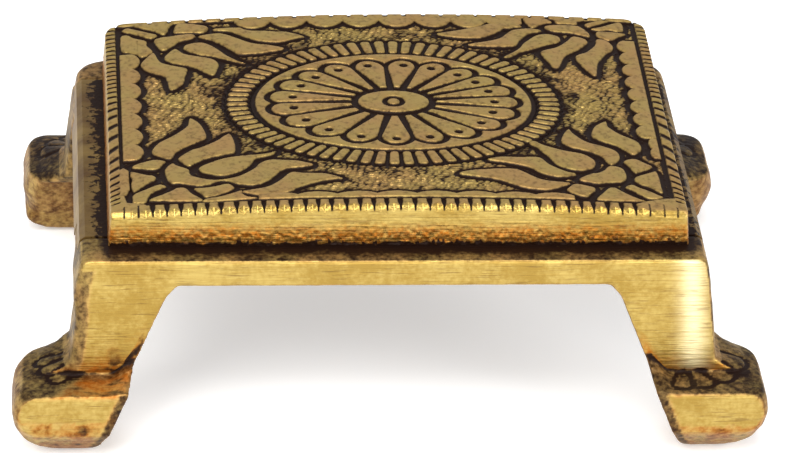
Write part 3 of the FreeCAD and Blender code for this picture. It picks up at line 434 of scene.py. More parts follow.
def petal_depth(angle, share, gap):
    """Distance into the nearest petal, with half of a gap cut off each of its sides."""
    half_x, half_y = PETAL_HALF_LENGTHS
    order = np.sort(np.radians(np.array(PETAL_ANGLES, float)))
    wrap = np.where(np.arange(len(order)) == len(order) - 1, 2 * math.pi, 0)
    edges = (order + np.roll(order, -1) + wrap) / 2
    first = edges[0] - 2 * math.pi / len(order)
    placed = (angle - first) % (2 * math.pi) + first
    nearest = np.full(angle.shape, -np.inf)
    radius = np.hypot(half_x * np.cos(angle), half_y * np.sin(angle))
    speed = np.hypot(half_x * np.sin(angle), half_y * np.cos(angle))
    for index, right in enumerate(edges):
        left = edges[index - 1] - (2 * math.pi if index == 0 else 0)
        half = (right - left) / 2
        middle = (right + left) / 2
        away = (placed - middle + math.pi) % (2 * math.pi) - math.pi
        cap = 1 - PETAL_CAP_SHARE * half * speed / radius
        wide = half * np.minimum(share, cap) * speed - gap / 2
        side = np.abs(away) * share * speed
        long = np.maximum(share - cap, 0) * radius
        nearest = np.maximum(nearest, wide - np.hypot(side, long))
    return nearest


def oval_depth(x, y, half_x, half_y):
    """Distance into an oval round the rosette's centre."""
    angle, share = ellipse_place(x, y, half_x, half_y)
    return (1 - share) * np.hypot(half_x * np.cos(angle), half_y * np.sin(angle))


def rosette_depth(x, y):
    """Distance into the rosette's petals, plain band and eye, less their punched dots."""
    half_x, half_y = PETAL_HALF_LENGTHS
    angle, share = ellipse_place(x, y, half_x, half_y)
    radius = np.hypot(half_x * np.cos(angle), half_y * np.sin(angle))
    gap = PETAL_GAP - PETAL_GAP_LOSS * fade(share, *PETAL_GAP_SHARES)
    petals = petal_depth(angle, share, gap)
    petals = np.minimum(petals, (share - PETAL_ROOT_SHARE) * radius)
    turns = np.radians(np.array(PETAL_ANGLES, float))
    dot_share = np.hypot(DOT_SHARES[0] * np.cos(turns), DOT_SHARES[1] * np.sin(turns))
    for turn, place in zip(turns, dot_share):
        dot_x = ROSETTE_X + half_x * place * math.cos(turn)
        dot_y = ROSETTE_Y + half_y * place * math.sin(turn)
        petals = np.minimum(petals, np.hypot(x - dot_x, y - dot_y) - DOT_RADIUS)
    outside_petals = -BAND_CLEARANCE - petal_depth(angle, share, 0.0)
    band = np.minimum(oval_depth(x, y, *BAND_HALF_LENGTHS), outside_petals)
    pupil = np.abs(np.hypot(x - ROSETTE_X, y - ROSETTE_Y) - PUPIL_RADIUS) - PUPIL_HALF_LINE
    eye = np.minimum(oval_depth(x, y, *EYE_HALF_LENGTHS), pupil)
    return np.maximum.reduce([petals, band, eye])


# The carving's surface. A fade is the pair of places that a mark comes in between
RING_SHARE = 1.12
INSIDE_RING_SHARE = 0.9
STRIP_FRONT_GAP = 1.0
TOOTH_FLARE_FRONT_GAP = 0.2
TOOTH_FLARE_REAR_GAP = 0.9
REAR_RIM_WIDTH = 1.2
REAR_RIM_HALF_SPAN = 53.0
WALL_FADE = (-0.16, 0.2)
CROWN_FADE = (0.0, 0.9)
CROWN_HEIGHT = 0.1
TOP_WAVE = 0.035
TOP_NOISE = (2.7, 11)

# The stippled ground between the leaves
WORM_X_STRETCH = 0.5
WORM_Y_STRETCH = 1.05
WORM_LEAN = 0.2
WORM_WANDER = 0.4
WORM_X_NOISE = (2.3, 31)
WORM_Y_NOISE = (2.1, 32)
PEBBLE_NOISE = (0.74, 5)
GROUND_FADE = (0.75, 1.25)
GROUND_LIFT_SHARE = 0.15
PEBBLE_LIFT_SHARE = 0.45
OPEN_FADE = (0.9, 2.2)
OPEN_RING_SHARES = (1.02, 1.16)
OPEN_WANDER = 0.08
OPEN_NOISE = (3.0, 34)
END_GROUND_SHARE = 0.55
END_GROUND_FADE = (20.0, 26.0)
BARE_SHARE = 0.3
BARE_PEBBLE_SHARE = 0.52
BARE_NOISE_SHARE = 0.28
BARE_NOISE = (1.7, 33)
BARE_OPEN_SHARE = 0.1
WALL_DARK_SHARE = 0.35
WALL_DARK_FADE = (0.1, 0.45)

# Ridges down the plate's two side edges
RIDGE_LEAN = 0.3
RIDGE_LEAN_GROWTH = 0.35
RIDGE_LEAN_FADE = (-10.0, 35.0)
RIDGE_WANDER = 0.1
RIDGE_NOISE = (3.1, 41)
RIDGE_FULLNESS = 0.6
RIDGE_INNER_FADE = (SIDE_STRIP_START - 0.1, SIDE_STRIP_START + 0.3)
RIDGE_FRONT_FADE = (-38.5, -36.5)
RIDGE_LINE_FADE = (0.5, 0.95)
RIDGE_DARK_SHARE = 0.85

# Notches along the plate's rear edge
NOTCH_STRETCH = 0.71
NOTCH_SHIFT = 0.4
NOTCH_HALF_WIDTH = 0.28
NOTCH_EDGE_FADE = (-1.3, -0.9)
NOTCH_HALF_SPAN = 49.0
NOTCH_DEPTH = 0.25
NOTCH_DARK_SHARE = 0.8


def carved_depth(x, y, ring_share, bead_count):
    """Distance into the nearest raised piece of the carving, below zero in the ground."""
    depth = np.full(x.shape, -REACH)
    for outline in LEAF_ISLANDS + BORDER_ISLANDS + CORNER_ISLANDS:
        raise_outline(depth, outline, x, y)
    ring = ring_share < RING_SHARE
    depth[ring] = np.maximum(depth[ring], bead_depth(x[ring], y[ring], bead_count))
    inner = ring_share < INSIDE_RING_SHARE
    depth[inner] = np.maximum(depth[inner], rosette_depth(x[inner], y[inner]))
    side = np.abs(x - PLATE_MIDDLE)
    edge_strip = np.minimum(side - SIDE_STRIP_START, y - TOOTH_BACK - STRIP_FRONT_GAP)
    forward = 1 - fade(y, PLATE_FRONT + TOOTH_FLARE_FRONT_GAP, TOOTH_BACK - TOOTH_FLARE_REAR_GAP)
    half_width = TOOTH_HALF_WIDTH + (TOOTH_FRONT_HALF_WIDTH - TOOTH_HALF_WIDTH) * forward
    teeth = np.minimum(half_width - np.abs(tooth_place(x)), TOOTH_BACK - y)
    rear_rim = np.minimum(y - rear_line(x) + REAR_RIM_WIDTH, REAR_RIM_HALF_SPAN - side)
    return np.maximum.reduce([depth, edge_strip, teeth, rear_rim])


def stipple(x, y, depth, ring_share):
    """How far the ground's pebbles come up, and how dark the ground is."""
    worm_x = WORM_X_STRETCH * x - WORM_LEAN * y + WORM_WANDER * lumps(x, y, *WORM_X_NOISE)
    worm_y = WORM_Y_STRETCH * y - WORM_LEAN * x + WORM_WANDER * lumps(x, y, *WORM_Y_NOISE)
    bump = pebbles(worm_x, worm_y, *PEBBLE_NOISE)
    ground = np.where(ring_share < INSIDE_RING_SHARE, 0, fade(-depth, *GROUND_FADE))
    rise = ground * (GROUND_LIFT_SHARE + PEBBLE_LIFT_SHARE * bump)
    wander = OPEN_WANDER * lumps(x, y, *OPEN_NOISE)
    open_ground = fade(-depth, *OPEN_FADE) * fade(ring_share + wander, *OPEN_RING_SHARES)
    ends = END_GROUND_SHARE * fade(np.abs(y - ROSETTE_Y), *END_GROUND_FADE)
    open_ground = np.maximum(open_ground, ends)
    bare = BARE_SHARE + BARE_PEBBLE_SHARE * bump + BARE_OPEN_SHARE * open_ground
    bare = bare + BARE_NOISE_SHARE * lumps(x, y, *BARE_NOISE)
    return rise, 1 - ground * bare * (1 + open_ground) / 2


def carve(x, y):
    """Height of the carving under the plate's top, and how dark each place has become."""
    sizes = bpy.context.scene.carved_table
    relief = sizes.relief / MM
    _, ring_share = ellipse_place(x, y, *BEAD_OUTER)
    depth = carved_depth(x, y, ring_share, sizes.bead_count)
    wall = fade(depth, *WALL_FADE)
    rise, dark_floor = stipple(x, y, depth, ring_share)
    crown = CROWN_HEIGHT * (fade(depth, *CROWN_FADE) - 1)
    top = crown + TOP_WAVE * lumps(x, y, *TOP_NOISE)
    height = relief * (rise - 1) * (1 - wall) + top * wall
    dark = dark_floor * (1 - wall) + wall * WALL_DARK_SHARE * (1 - fade(depth, *WALL_DARK_FADE))

    side = np.abs(x - PLATE_MIDDLE)
    lean = RIDGE_LEAN + RIDGE_LEAN_GROWTH * fade(-y, *RIDGE_LEAN_FADE)
    slant = y + lean * side + RIDGE_WANDER * lumps(y, side, *RIDGE_NOISE)
    ridge = np.sin(math.pi * ((slant / SIDE_RIDGE_PITCH) % 1.0)) ** RIDGE_FULLNESS
    on_side = fade(side, *RIDGE_INNER_FADE) * fade(y, *RIDGE_FRONT_FADE)
    height = height - on_side * SIDE_RIDGE_DEPTH * (1 - ridge)
    dark = np.maximum(dark, on_side * (1 - fade(ridge, *RIDGE_LINE_FADE)) * RIDGE_DARK_SHARE)
    height = height - chamfer_share(x, y) * TOOTH_CHAMFER_DROP
    notch = np.abs(tooth_place(x * NOTCH_STRETCH + NOTCH_SHIFT)) < NOTCH_HALF_WIDTH
    notch = notch * fade(y - rear_line(x), *NOTCH_EDGE_FADE) * (side < NOTCH_HALF_SPAN)
    height = height - notch * NOTCH_DEPTH
    dark = np.maximum(dark, notch * NOTCH_DARK_SHARE)
    return height, np.clip(dark, 0, 1)


def new_object(name, mesh):
    """An object at the origin that shows the mesh."""
    piece = bpy.data.objects.new(name, mesh)
    bpy.context.scene.collection.objects.link(piece)
    return piece


def fit(piece, slot, material, *nodes):
    """Hangs a finished piece on the frame, with its finish, in place of CAD nodes."""
    piece.data.materials.clear()
    piece.data.materials.append(material)
    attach(piece, "root")
    if nodes:
        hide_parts(*nodes)
    return piece


def points_of(mesh):
    """The mesh's points in millimetres, one row each."""
    points = np.empty(len(mesh.vertices) * 3)
    mesh.vertices.foreach_get("co", points)
    return points.reshape(-1, 3) / MM


def place_points(mesh, points):
    """Writes points in millimetres back into the mesh."""
    mesh.vertices.foreach_set("co", (points * MM).ravel())
    mesh.update()


def paint(mesh, **layers):
    """Keeps shares from 0 to 1 on the mesh's points for its material to read."""
    for name, values in layers.items():
        layer = mesh.attributes.new(name, "FLOAT", "POINT")
        layer.data.foreach_set("value", np.asarray(values, np.float32))


# Angles past which an edge stays sharp
RIM_EDGE_ANGLE = math.radians(50)
CARVING_EDGE_ANGLE = math.radians(70)
CAST_EDGE_ANGLE = math.radians(60)
BODY_EDGE_ANGLE = math.radians(30)


def smooth_faces(mesh, angle):
    """Smooth shading with the edges past an angle kept sharp."""
    mesh.polygons.foreach_set("use_smooth", np.ones(len(mesh.polygons), bool))
    mesh.set_sharp_from_angle(angle=angle)


def grid_mesh(name, columns, rows):
    """A unit grid from 0 to 1 on X and Y, for a skin that is laid over it."""
    bm = bmesh.new()
    bmesh.ops.create_grid(bm, x_segments=columns, y_segments=rows, size=0.5)
    bmesh.ops.translate(bm, verts=bm.verts, vec=(0.5, 0.5, 0))
    mesh = bpy.data.meshes.new(name)
    bm.to_mesh(mesh)
    bm.free()
    return mesh


def side_path(corners, radii, side):
    """The plate's outline along one side, from the middle of one corner's round to the next."""
    points = []
    for index, part in ((side, 1), ((side + 1) % 4, 0)):
        corner = Vector(corners[index])
        before = (corner - Vector(corners[index - 1])).normalized()
        after = (Vector(corners[(index + 1) % 4]) - corner).normalized()
        turn = before.angle(after)
        inward = Vector((-before.y, before.x))
        centre = corner - before * radii[index] * math.tan(turn / 2) + inward * radii[index]
        for step in np.linspace(0, 0.5, 10) + 0.5 * part:
            arm = Matrix.Rotation(turn * step, 2) @ -inward
            points.append(centre + arm * radii[index])
    return np.array(points)


def along_path(path, share):
    """Points at a share of the way along a path, and which way is outward there."""
    steps = np.hypot(*np.diff(path, axis=0).T)
    length = np.concatenate([[0], np.cumsum(steps)])
    at = share * length[-1]
    place = np.stack([np.interp(at, length, path[:, 0]), np.interp(at, length, path[:, 1])], axis=1)
    ahead = np.stack([np.gradient(path[:, 0]), np.gradient(path[:, 1])], axis=1)
    run = np.stack([np.interp(at, length, ahead[:, 0]), np.interp(at, length, ahead[:, 1])], axis=1)
    run /= np.maximum(np.hypot(*run.T), 1e-9)[:, None]
    return place, np.stack([run[:, 1], -run[:, 0]], axis=1)


PLATE_CORNERS = (
    (PLATE_MIDDLE - PLATE_HALF_WIDTH, PLATE_FRONT),
    (PLATE_MIDDLE + PLATE_HALF_WIDTH, PLATE_FRONT),
    (PLATE_MIDDLE + PLATE_HALF_WIDTH, PLATE_REAR_RIGHT),
    (PLATE_MIDDLE - PLATE_HALF_WIDTH, PLATE_REAR_LEFT),
)
CORNER_RADII = (FRONT_CORNER_RADIUS, FRONT_CORNER_RADIUS, REAR_CORNER_RADIUS, REAR_CORNER_RADIUS)
RIM_WIDTH = 6.6
FIELD_CORNERS = (
    (PLATE_CORNERS[0][0] + RIM_WIDTH, PLATE_FRONT + RIM_WIDTH),
    (PLATE_CORNERS[1][0] - RIM_WIDTH, PLATE_FRONT + RIM_WIDTH),
    (PLATE_CORNERS[2][0] - RIM_WIDTH, PLATE_REAR_RIGHT - RIM_WIDTH),
    (PLATE_CORNERS[3][0] + RIM_WIDTH, PLATE_REAR_LEFT - RIM_WIDTH),
)
FIELD_RADII = (0.01, 0.01, 0.01, 0.01)
RIM_WALL = 2.5
TOP_ROWS = 32
EDGE_ROWS = 4
FACE_ROWS = 30
SEAT_GAP = 0.02


# Marks of the rim. A fade is the pair of places that a mark comes in between, a noise a pitch and a seed
SIDE_FLARE_FADE = (54.0, 55.4)
REAR_FLARE_FADE = (PLATE_REAR_LEFT - 3, PLATE_REAR_LEFT - 0.5)
FACE_FADE = (0.0, 0.6)
CARVING_END_FADE = (0.1, 2.6)
FACE_LOW_FADE = (3.2, 6.6)
COARSE_FACE_NOISE = (0.9, 3)
FINE_FACE_NOISE = (0.45, 4)
FACE_GRAIN_NOISE = (1.6, 8)
FACE_SPECK_NOISE = (0.5, 9)
FACE_ROUGH = 0.035
FACE_LOW_ROUGH = 0.11
FACE_INSET = 0.05
FACE_BURNT_FADE = (2.2, 5.8)
FACE_BURNT_SHARE = 0.95
BURNT_GRAIN_SHARE = 0.5
BURNT_SPECK_SHARE = 0.3
FOOT_DARK_WANDER = 0.7
FOOT_DARK_FADE = (0.2, 1.5)
FLAKE_FADE = (1.0, 3.6)
FLAKE_SHARES = (0.25, 0.8)
FLAKE_DARK_SHARE = 0.7
FILED_FACE_SHARE = 0.2
FILED_FACE_WANDER = 0.5
FILED_FACE_FADE = (3.4, 5.6)
CHAMFER_BRIGHT_SHARES = (0.02, 0.12)
CHAMFER_CLEAN_SHARE = 0.8
GAP_FADE = (TOOTH_FRONT_HALF_WIDTH - 0.16, TOOTH_FRONT_HALF_WIDTH)
GAP_DOWN_FADE = (0.9, 1.5)
GAP_FRONT_FADE = (38.0, 38.4)
GAP_DARK_SHARE = 0.8
SIDE_FACE_CLEAN_SHARE = 0.5
SIDE_FACE_DARK_SHARE = 0.3
SIDE_FACE_GRAIN_SHARE = 0.25


def face_finish(above, grain, speck):
    """How burnt the plate's faces are and how dark they grow towards their foot, at a height over the ledge.
    """
    heat = FACE_BURNT_SHARE + BURNT_GRAIN_SHARE * grain + BURNT_SPECK_SHARE * speck
    burnt = np.clip(fade_out(above, *FACE_BURNT_FADE) * heat, 0, 1)
    flakes = fade_out(above, *FLAKE_FADE) * fade(speck + grain, *FLAKE_SHARES)
    # Darker towards the foot of each face, by the ledge
    foot_dark = fade_out(above + FOOT_DARK_WANDER * grain, *FOOT_DARK_FADE) + flakes * FLAKE_DARK_SHARE
    return burnt, np.clip(foot_dark, 0, 1)


def rim_piece(name, side, columns):
    """One side of the plate's rim, from its carved border over the edge and down to the ledge."""
    rows = TOP_ROWS + EDGE_ROWS + FACE_ROWS + 4
    mesh = grid_mesh(name, columns, rows)
    unit = points_of(mesh)[:, :2] * MM
    share = unit[:, 0]
    row = np.round(unit[:, 1] * rows).astype(int)
    outer, outward = along_path(side_path(PLATE_CORNERS, CORNER_RADII, side), share)
    inner, _ = along_path(side_path(FIELD_CORNERS, FIELD_RADII, side), share)
    lean = np.clip(row / TOP_ROWS, 0, 1)
    swing = np.clip((row - TOP_ROWS) / EDGE_ROWS, 0, 1) * math.pi / 2
    down = np.clip((row - TOP_ROWS - EDGE_ROWS) / FACE_ROWS, 0, 1)
    hidden = row - TOP_ROWS - EDGE_ROWS - FACE_ROWS
    shown = hidden <= 0
    out = EDGE_RADIUS * (np.sin(swing) - lean)
    out = np.where(np.isin(hidden, (1, 2)), -RIM_WALL, out)
    lean = np.where(hidden >= 3, 0, lean)
    out = np.where(hidden >= 3, 0, out)
    place = inner + (outer - inner) * lean[:, None] + outward * out[:, None]
    top = plate_top(place[:, 0], place[:, 1])
    height, dark = carve(place[:, 0], place[:, 1])
    face_top = top - EDGE_RADIUS * (1 - np.cos(swing))
    z = face_top + (PLATE_FOOT + SEAT_GAP - face_top) * down
    flare = PLATE_DRAFT * np.clip(top - z, 0, None) / PLATE_SIDE_HEIGHT * shown
    at_side = fade(np.abs(outer[:, 0] - PLATE_MIDDLE), *SIDE_FLARE_FADE)
    place[:, 0] += np.sign(place[:, 0] - PLATE_MIDDLE) * flare * at_side
    place[:, 1] += flare * fade(outer[:, 1], *REAR_FLARE_FADE)
    on_face = shown * fade(top - z, *FACE_FADE)
    z = z + height * fade_out(top - z, *CARVING_END_FADE) * shown

    around = place[:, 0] + place[:, 1] * (side % 2)
    rough = (lumps(around, z, *COARSE_FACE_NOISE) + lumps(around, z, *FINE_FACE_NOISE)) / 2
    push = rough * (FACE_ROUGH + FACE_LOW_ROUGH * fade(top - z, *FACE_LOW_FADE)) - FACE_INSET
    place += outward * (on_face * push)[:, None]
    grain = (lumps(around, z, *FACE_GRAIN_NOISE) + rough) / 2
    above = z - PLATE_FOOT
    burnt, foot_dark = face_finish(above, grain, lumps(around, z, *FACE_SPECK_NOISE))
    dark = dark * (1 - on_face) + on_face * foot_dark
    bright = np.zeros(len(z))
    if side == 0:
        polish = fade(above + FILED_FACE_WANDER * grain, *FILED_FACE_FADE)
        bright = on_face * (FILED_FACE_SHARE + (1 - FILED_FACE_SHARE) * polish)
        chamfer = fade(chamfer_share(place[:, 0], place[:, 1]), *CHAMFER_BRIGHT_SHARES)
        bright = np.maximum(bright, chamfer * shown)
        dark = dark * (1 - CHAMFER_CLEAN_SHARE * bright * (1 - on_face))
        gap = fade(np.abs(tooth_place(place[:, 0])), *GAP_FADE) * fade_out(top - z, *GAP_DOWN_FADE)
        gap = gap * fade(-place[:, 1], *GAP_FRONT_FADE) * shown
        dark = np.maximum(dark, gap * GAP_DARK_SHARE)
    else:
        dark = dark * (1 - SIDE_FACE_CLEAN_SHARE * on_face)
        dark = np.maximum(dark, on_face * (SIDE_FACE_DARK_SHARE + SIDE_FACE_GRAIN_SHARE * grain))
    z = np.where(hidden == 1, PLATE_FOOT + SEAT_GAP, z)
    z = np.where(np.isin(hidden, (2, 3)), SKIN_FLOOR, z)
    z = np.where(hidden == 4, top + height, z)
    place_points(mesh, np.column_stack([place, z]))
    paint(mesh, tarnish=dark, gilt=bright, burnt=on_face * burnt)
    close_section(mesh)
    return mesh


MERGE_GAP = 0.005
FIELD_OVERLAP = 0.3
FIELD_DIP = 1.0
FIELD_DIP_SHARES = (0.975, 1.0)
SPIN_MERGE_GAP = 1e-5
NODE_MERGE_GAP = 0.001
SKIN_SMOOTHINGS = 2
SKIN_SMOOTH_SHARE = 0.5


def close_section(mesh):
    """Joins a rolled skin's first and last rows and closes its two ends."""
    bm = bmesh.new()
    bm.from_mesh(mesh)
    bmesh.ops.remove_doubles(bm, verts=bm.verts, dist=MERGE_GAP * MM)
    bmesh.ops.holes_fill(bm, edges=[edge for edge in bm.edges if edge.is_boundary], sides=0)
    bmesh.ops.recalc_face_normals(bm, faces=bm.faces)
    bm.to_mesh(mesh)
    bm.free()


def field_piece(name, left, right, columns, rows):
    """A leaf field of the carved top, which dips out of sight under the bead ring."""
    mesh = grid_mesh(name, columns, rows)
    unit = points_of(mesh)[:, :2] * MM
    x = left + (right - left) * unit[:, 0]
    front = FIELD_CORNERS[0][1] - FIELD_OVERLAP
    rear = rear_line(x) - RIM_WIDTH + FIELD_OVERLAP
    y = front + (rear - front) * unit[:, 1]
    height, dark = carve(x, y)
    _, share = ellipse_place(x, y, *BEAD_OUTER)
    height = height - FIELD_DIP * fade_out(share, *FIELD_DIP_SHARES)
    place_points(mesh, np.column_stack([x, y, plate_top(x, y) + height]))
    paint(mesh, tarnish=dark, gilt=np.zeros(len(x)), burnt=np.zeros(len(x)))
    bm = bmesh.new()
    bm.from_mesh(mesh)
    border = [edge for edge in bm.edges if edge.is_boundary]
    skirt = bmesh.ops.extrude_edge_only(bm, edges=border)["geom"]
    for point in skirt:
        if isinstance(point, bmesh.types.BMVert):
            point.co.z = SKIN_FLOOR * MM
    bmesh.ops.holes_fill(bm, edges=[edge for edge in bm.edges if edge.is_boundary], sides=0)
    bmesh.ops.recalc_face_normals(bm, faces=bm.faces)
    bm.to_mesh(mesh)
    bm.free()
    return mesh


def spun_section(name, radii, steps, closed_middle):
    """A flat ring or disc spun from a line of points, one unit deep underneath."""
    bm = bmesh.new()
    line = [(radius, 0, 0) for radius in radii] + [(radii[-1], 0, -1), (radii[0], 0, -1)]
    points = [bm.verts.new(place) for place in line]
    edges = [bm.edges.new(pair) for pair in zip(points, points[1:])]
    if not closed_middle:
        edges.append(bm.edges.new((points[-1], points[0])))
    bmesh.ops.spin(
        bm, geom=points + edges, cent=(0, 0, 0), axis=(0, 0, 1), angle=2 * math.pi,
        steps=steps, use_merge=True, use_duplicate=False,
    )
    bmesh.ops.remove_doubles(bm, verts=bm.verts, dist=SPIN_MERGE_GAP)
    bmesh.ops.recalc_face_normals(bm, faces=bm.faces)
    mesh = bpy.data.meshes.new(name)
    bm.to_mesh(mesh)
    bm.free()
    return mesh


def lay_on_ellipse(mesh, inner, outer, start):
    """Stretches a spun section between two ellipses of the rosette and presses the carving into it."""
    unit = points_of(mesh) * MM
    radius = np.hypot(unit[:, 0], unit[:, 1])
    angle = np.arctan2(unit[:, 1], unit[:, 0])
    share = radius - start
    x = ROSETTE_X + (inner[0] + (outer[0] - inner[0]) * share) * np.cos(angle)
    y = ROSETTE_Y + (inner[1] + (outer[1] - inner[1]) * share) * np.sin(angle)
    height, dark = carve(x, y)
    z = np.where(unit[:, 2] < -0.5, SKIN_FLOOR, plate_top(x, y) + height)
    place_points(mesh, np.column_stack([x, y, z]))
    paint(mesh, tarnish=dark, gilt=np.zeros(len(x)), burnt=np.zeros(len(x)))


def copy_node(name, node):
    """A merged copy of a CAD node's mesh under a new name."""
    bm = bmesh.new()
    bm.from_mesh(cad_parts[node].data)
    bmesh.ops.remove_doubles(bm, verts=bm.verts, dist=NODE_MERGE_GAP * MM)
    mesh = bpy.data.meshes.new(name)
    bm.to_mesh(mesh)
    bm.free()
    mesh.materials.clear()
    return mesh


def cast_skin(name, node, voxel):
    """An even skin over a CAD node, fine enough to take the marks of casting and filing."""
    piece = new_object(name, copy_node(name, node))
    skin = piece.modifiers.new("even_skin", "REMESH")
    skin.mode = "VOXEL"
    skin.voxel_size = voxel
    depsgraph = bpy.context.evaluated_depsgraph_get()
    mesh = bpy.data.meshes.new_from_object(piece.evaluated_get(depsgraph))
    piece.modifiers.clear()
    piece.data = mesh
    bm = bmesh.new()
    bm.from_mesh(mesh)
    for _ in range(SKIN_SMOOTHINGS):
        bmesh.ops.smooth_vert(
            bm, verts=bm.verts, factor=SKIN_SMOOTH_SHARE, use_axis_x=True, use_axis_y=True, use_axis_z=True
        )
    bmesh.ops.recalc_face_normals(bm, faces=bm.faces)
    bm.to_mesh(mesh)
    bm.free()
    mesh.name = name
    return piece


def normals_of(mesh):
    """The mesh's outward direction at each point."""
    normals = np.empty(len(mesh.vertices) * 3, np.float32)
    mesh.vertex_normals.foreach_get("vector", normals)
    return normals.reshape(-1, 3).astype(float)


# Places of the arches' filed faces and paw feet
LEDGE_TOP = PLATE_FOOT
TOE_LINE = 17.9
TOE_TOP = 15.7
TOE_FRONT = 54.3
ARCH_FACE = 46.8
INNER_FOOT_SPAN = 57.1
INNER_SIDE_LEAN = 0.4
FAN_SIDE = 57.0
FAN_FORWARD = 42.5
FAN_HALF_LENGTHS = (14.0, 10.9)
FULL_FAN = 5
FAN_TURNS = {
    (-1, -1): (-8, 9, 25, 43),
    (1, -1): (-3, 25, 53, 81, 109),
    (-1, 1): (-10, 18, 45, 72, 99),
    (1, 1): (-10, 18, 45, 72, 99),
}
PETAL_TIP_SHARE = 0.8
PETAL_TIP_ROUND_SHARE = 0.13
PETAL_TIP_FULLNESS = 0.5
FAN_EDGE_TURN = 4
GROOVE_FADE = (0.25, 0.75)
FAN_ROOT_FADE = (3.0, 4.2)
PATCH_TURN_FADE = (4, 16)

# Where the toes are pressed flat, the left front leg drawn in and the left rear toe tucked under
CAST_LEVELS = (0.0, 14.0, 15.7, 18.5, 24.0, 30.0, 36.0, 60.0)
SHELF_LEVELS = (0.0, 14.0, 15.5, 16.2, 19.0, 27.5, 36.0, 60.0)
OUTER_SIDE_FADE = (55.0, 60.0)
BEFORE_FACE_FADE = (ARCH_FACE - 1.0, ARCH_FACE - 0.2)
BEFORE_SIDE_FADE = (0.5, 5.0)
SLIM_BY = 1.1
SLIM_TOP_FADE = (26.0, 34.0)
SLIM_BOTTOM_FADE = (13.0, 17.0)
SLIM_SIDE_FADE = (55.0, 61.0)
TUCK_BY = 2.2
TUCK_HEIGHT_FADE = (2.0, 8.0)
TUCK_SIDE_FADE = (58.0, 73.0)

# Casting lumps
CAST_X_LEAN = 0.3
CAST_Y_LEAN = 0.6
FINE_CAST_LEAN = 0.5
COARSE_CAST_NOISE = (2.2, 21)
FINE_CAST_NOISE = (0.9, 22)
COARSE_CAST_SHARE = 0.6
CAST_ROUGH = 0.07
FILED_ROUGH = 0.012
GROOVE_DEPTH = 0.45

# Filed legs and toes, the ledge over them and the painted highlight streak down the right leg
LEDGE_UP_SHARES = (0.6, 0.85)
LEDGE_FADE = (LEDGE_TOP - 1.2, LEDGE_TOP - 0.6)
LEDGE_WANDER = 0.6
LEDGE_EDGE_FADE = (ARCH_FACE - 5.2, ARCH_FACE - 1.4)
LEDGE_CORNER_FADE = (PLATE_HALF_WIDTH, PLATE_HALF_WIDTH + 3)
LEDGE_EDGE_SHARE = 0.33
LEDGE_CORNER_SHARE = 0.3
FRONT_LEDGE_SHARES = (0.93, 0.18)
REAR_LEDGE_SHARES = (0.6, 0.3)
LEG_FRONT_SHARES = (0.72, 0.9)
LEG_WANDER = 0.5
LEG_FADE = (TOE_LINE + 0.5, TOE_LINE + 1.4)
FLAT_FRONT_SHARES = (0.86, 0.96)
FLAT_TOP_WANDER = 0.15
FLAT_TOP_FADE = (TOE_TOP - 0.7, TOE_TOP - 0.25)
FLAT_AHEAD_FADE = (TOE_FRONT - 1.0, TOE_FRONT - 0.4)
FLAT_BOTTOMS = (9.7, 8.2)
FLAT_BOTTOM_WANDER = 0.8
FLAT_BOTTOM_FADE = (-0.3, 0.3)
HEEL_FADE = (1.6, 2.4)
LEFT_LEG_FILED = 56.8
LEFT_LEG_LEAN = 0.22
LEFT_LEG_FADE = (-0.4, 0.4)
LEFT_LEG_TOP = LEDGE_TOP - 2
HIGHLIGHT_STREAK_X = 57.4
HIGHLIGHT_STREAK_LEAN = 0.1
HIGHLIGHT_STREAK_TOP = 36.0
HIGHLIGHT_STREAK_WIDTH = 2.4

# Burnt, singed and chipped places. A pair of shares is a level and its swing with the roughness
SCORCH_WANDER = 2.0
SCORCH_FADE = (TOE_LINE + 1.5, TOE_LINE + 8.0)
CHIP_STRETCH = 0.7
CHIP_NOISE = (1.5, 23)
CHIP_NOISE_SHARE = 0.7
CHIP_ROUGH_SHARE = 0.5
CHIP_SHARES = (-0.1, 0.35)
CHIP_HEIGHT_FADE = (21.5, 29.0)
CHIP_SIDE_FADE = (-59.0, -54.0)
CHIP_BURNT_SHARE = 0.6
CHIP_DARK_SHARE = 0.75
THROAT_WANDER = 1.1
THROAT_TOP_FADE = (TOE_LINE + 0.1, TOE_LINE + 2.0)
THROAT_BOTTOM_FADE = (TOE_TOP - 0.8, TOE_TOP + 0.2)
THROAT_FRONT_SHARES = (-0.2, 0.4)
THROAT_AHEAD_WANDER = 0.9
THROAT_AHEAD_FADE = (ARCH_FACE + 1.2, ARCH_FACE + 4.2)
THROAT_BURNT_SHARE = 0.6
THROAT_DARK_SHARES = (0.72, 0.6)
THROAT_PATCH_SHARE = 0.3
SINGED_FRONT_SHARES = (0.55, 0.85)
SINGED_BOTTOM = TOE_LINE - 1.0
SINGED_WANDER = 1.3
SINGED_FADE = (TOE_LINE + 1.6, TOE_LINE + 3.2)
SINGED_DARK_SHARES = (0.74, 0.3)

